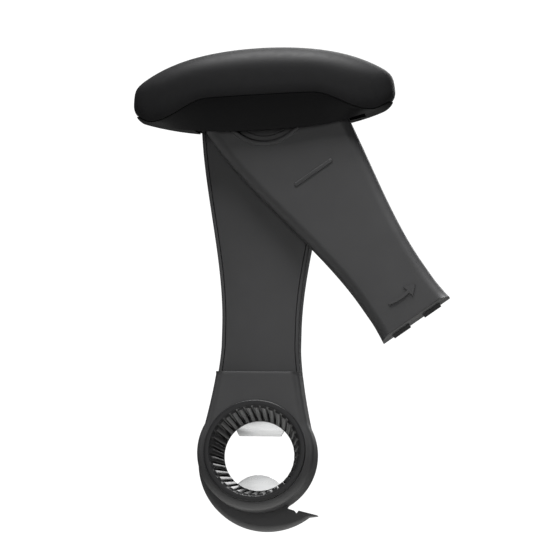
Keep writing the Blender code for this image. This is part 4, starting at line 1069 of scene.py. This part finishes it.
for spread in (0.992, 0.97, 0.935, 0.89, 0.83, 0.75, 0.65, 0.53, 0.40, 0.26, 0.13, 0.04):
    loops.append(pad_loop(spread, PAD_BULGE + (1 - PAD_BULGE) * (1 - spread ** 4) ** 0.25, FIT))
top_skin = skin("soft_top", loops, PAD_TILTED)
smooth = top_skin.modifiers.new("Smooth", "SUBSURF")
smooth.levels = smooth.render_levels = 1
complete(top_skin, foam_skin, "pad", "soft_top", "pad_cushion", sharp=70)

# %% [markdown]
# ## The base
#
# The base is a thin-walled boat of hard plastic that closes the pad from below. Its outer and
# inner faces are skinned as one closed surface, and two slots are cut for the arm's head and
# for the cover, which both pass up into it. Two wells are cut for the screws from below. The
# posts that these screws go into can't be seen, so they are left out here.

# %% Mould the base
BASE_WALL = 3 * MM
RIM_RISE = 0.4             # how far the rim's inner edge stands up, as a share of the wall
KEEL_POWER = 1.25          # how the sides fall in towards the underside
KEEL_SHORTENING = 0.05     # how much shorter the underside is than the rim
PAD_TILT = math.radians(5.0)
SLOT_ROOM = 1 * MM
SLOT_LOW, SLOT_HIGH = -40 * MM, -5 * MM
COVER_SLOT_REACH = 97 * MM # how far right of the pivot the open cover needs room
WELL_RADIUS = 3.4 * MM
WELL_DEPTH = 50 * MM
rim_x = shrink * PAD_HALF_LENGTH - FIT
rim_y = shrink * PAD_HALF_WIDTH - FIT

KEEL_POINTS = (0.85, 0.6, 0.3, 0.05)   # rings across the underside, as shares of its size
WALL_LEVELS = (0.0, 0.04, 0.12, 0.25, 0.38, 0.5, 0.62, 0.74, 0.84, 0.92, 0.97, 1.0)


def base_loop(level, wall, spread=1.0):
    """A loop round the base: 0 is its rim and 1 its underside; wall is how far in the loop lies."""
    half_y = rim_y + (KEEL_HALF_WIDTH - rim_y) * level ** KEEL_POWER - wall
    loop = []
    for x, y in oval((rim_x * (1 - KEEL_SHORTENING * level ** 2) - wall) * spread, half_y * spread):
        high = seam_height(x, y) - FIT
        z = high + (keel_height(x, y) - high) * level + wall * (level if level else RIM_RISE)
        loop.append((x + PAD_SHIFT, y + PAD_DEPTH_CENTRE, z))
    return loop


loops = [base_loop(level, 0.0) for level in WALL_LEVELS]
loops += [base_loop(1.0, 0.0, spread) for spread in KEEL_POINTS]
loops += [base_loop(1.0, BASE_WALL, spread) for spread in KEEL_POINTS[::-1]]
loops += [base_loop(level, BASE_WALL) for level in WALL_LEVELS[::-1]]
boat = skin("base_shell", loops, PAD_TILTED, closed=True)
sway = math.sin(PAD_TILT + PAD_REST_TILT + LEAN)
arm_reach = HEAD_HALF_WIDTH - KEEL_MIDDLE * sway + SLOT_ROOM
cheek_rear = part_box("tilt_bracket")[1].y
combine(boat, block("arm_slot", (-arm_reach, ARM_FRONT - SLOT_ROOM, SLOT_LOW),
                    (arm_reach, cheek_rear + SLOT_ROOM, SLOT_HIGH), PAD_TILTED))
combine(boat, block("cover_slot", (-arm_reach, COVER_FRONT - RING_PROUD - SLOT_ROOM, SLOT_LOW),
                    (COVER_SLOT_REACH, ARM_FRONT + SLOT_ROOM, SLOT_HIGH), PAD_TILTED))
for name in ("base_screw_1", "base_screw_2"):
    low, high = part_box(name)
    at = PAD_TILTED.inverted() @ ((low + high) / 2)
    well = [(0.0, 0.0), (WELL_RADIUS, 0.0), (WELL_RADIUS, -WELL_DEPTH), (0.0, -WELL_DEPTH)]
    combine(boat, turned(f"well_{name}", well, (at.x, at.y, 0.0), PAD_TILTED, steps=48, upright=True))
complete(boat, polypropylene, "pad", "base_plastic", "pad_base", sharp=40)

# %% [markdown]
# ## The screws at the rear
#
# From behind, the screws are what shows that the armrest comes apart. Each has a low round
# head with a hexagon socket, and takes its place and size from its own solid.

# %% Hexagon-socket screws
def rear_screw(node):
    """A button-head screw that goes in from the rear, where its solid is."""
    low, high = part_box(node)
    x, z = (low.x + high.x) / 2, (low.z + high.z) / 2
    head = (high.x - low.x) / 2
    rise = 0.48 * head
    crown, seat = -high.y, -high.y + rise
    outline = [(0.0, -low.y), (0.48 * head, -low.y), (0.52 * head, -low.y - 0.3 * head),
               (0.52 * head, seat), (0.97 * head, seat), (head, seat - 0.12 * rise)]
    outline += [(head * math.cos(math.radians(t)), seat - rise * (0.3 + 0.7 * math.sin(math.radians(t))))
                for t in (0, 20, 40, 60, 75)]
    outline.append((0.0, crown))
    screw = turned(f"{node}_button", outline, (x, 0, z), Matrix.Identity(4), steps=40)
    socket = [(x + px, z + pz) for px, pz in arc((0, 0), 0.5 * head, 0, 360, 6)[:-1]]
    combine(screw, plate(f"{node}_socket", [socket], high.y - 0.75 * rise, high.y + rise,
                         Matrix.Identity(4)))
    complete(screw, phosphate, "arm", "black_steel", node)


for kind, count in (("shell_screw", 2), ("spine_screw", 2), ("claw_screw", 3), ("key_screw", 3)):
    for number in range(1, count + 1):
        rear_screw(f"{kind}_{number}")
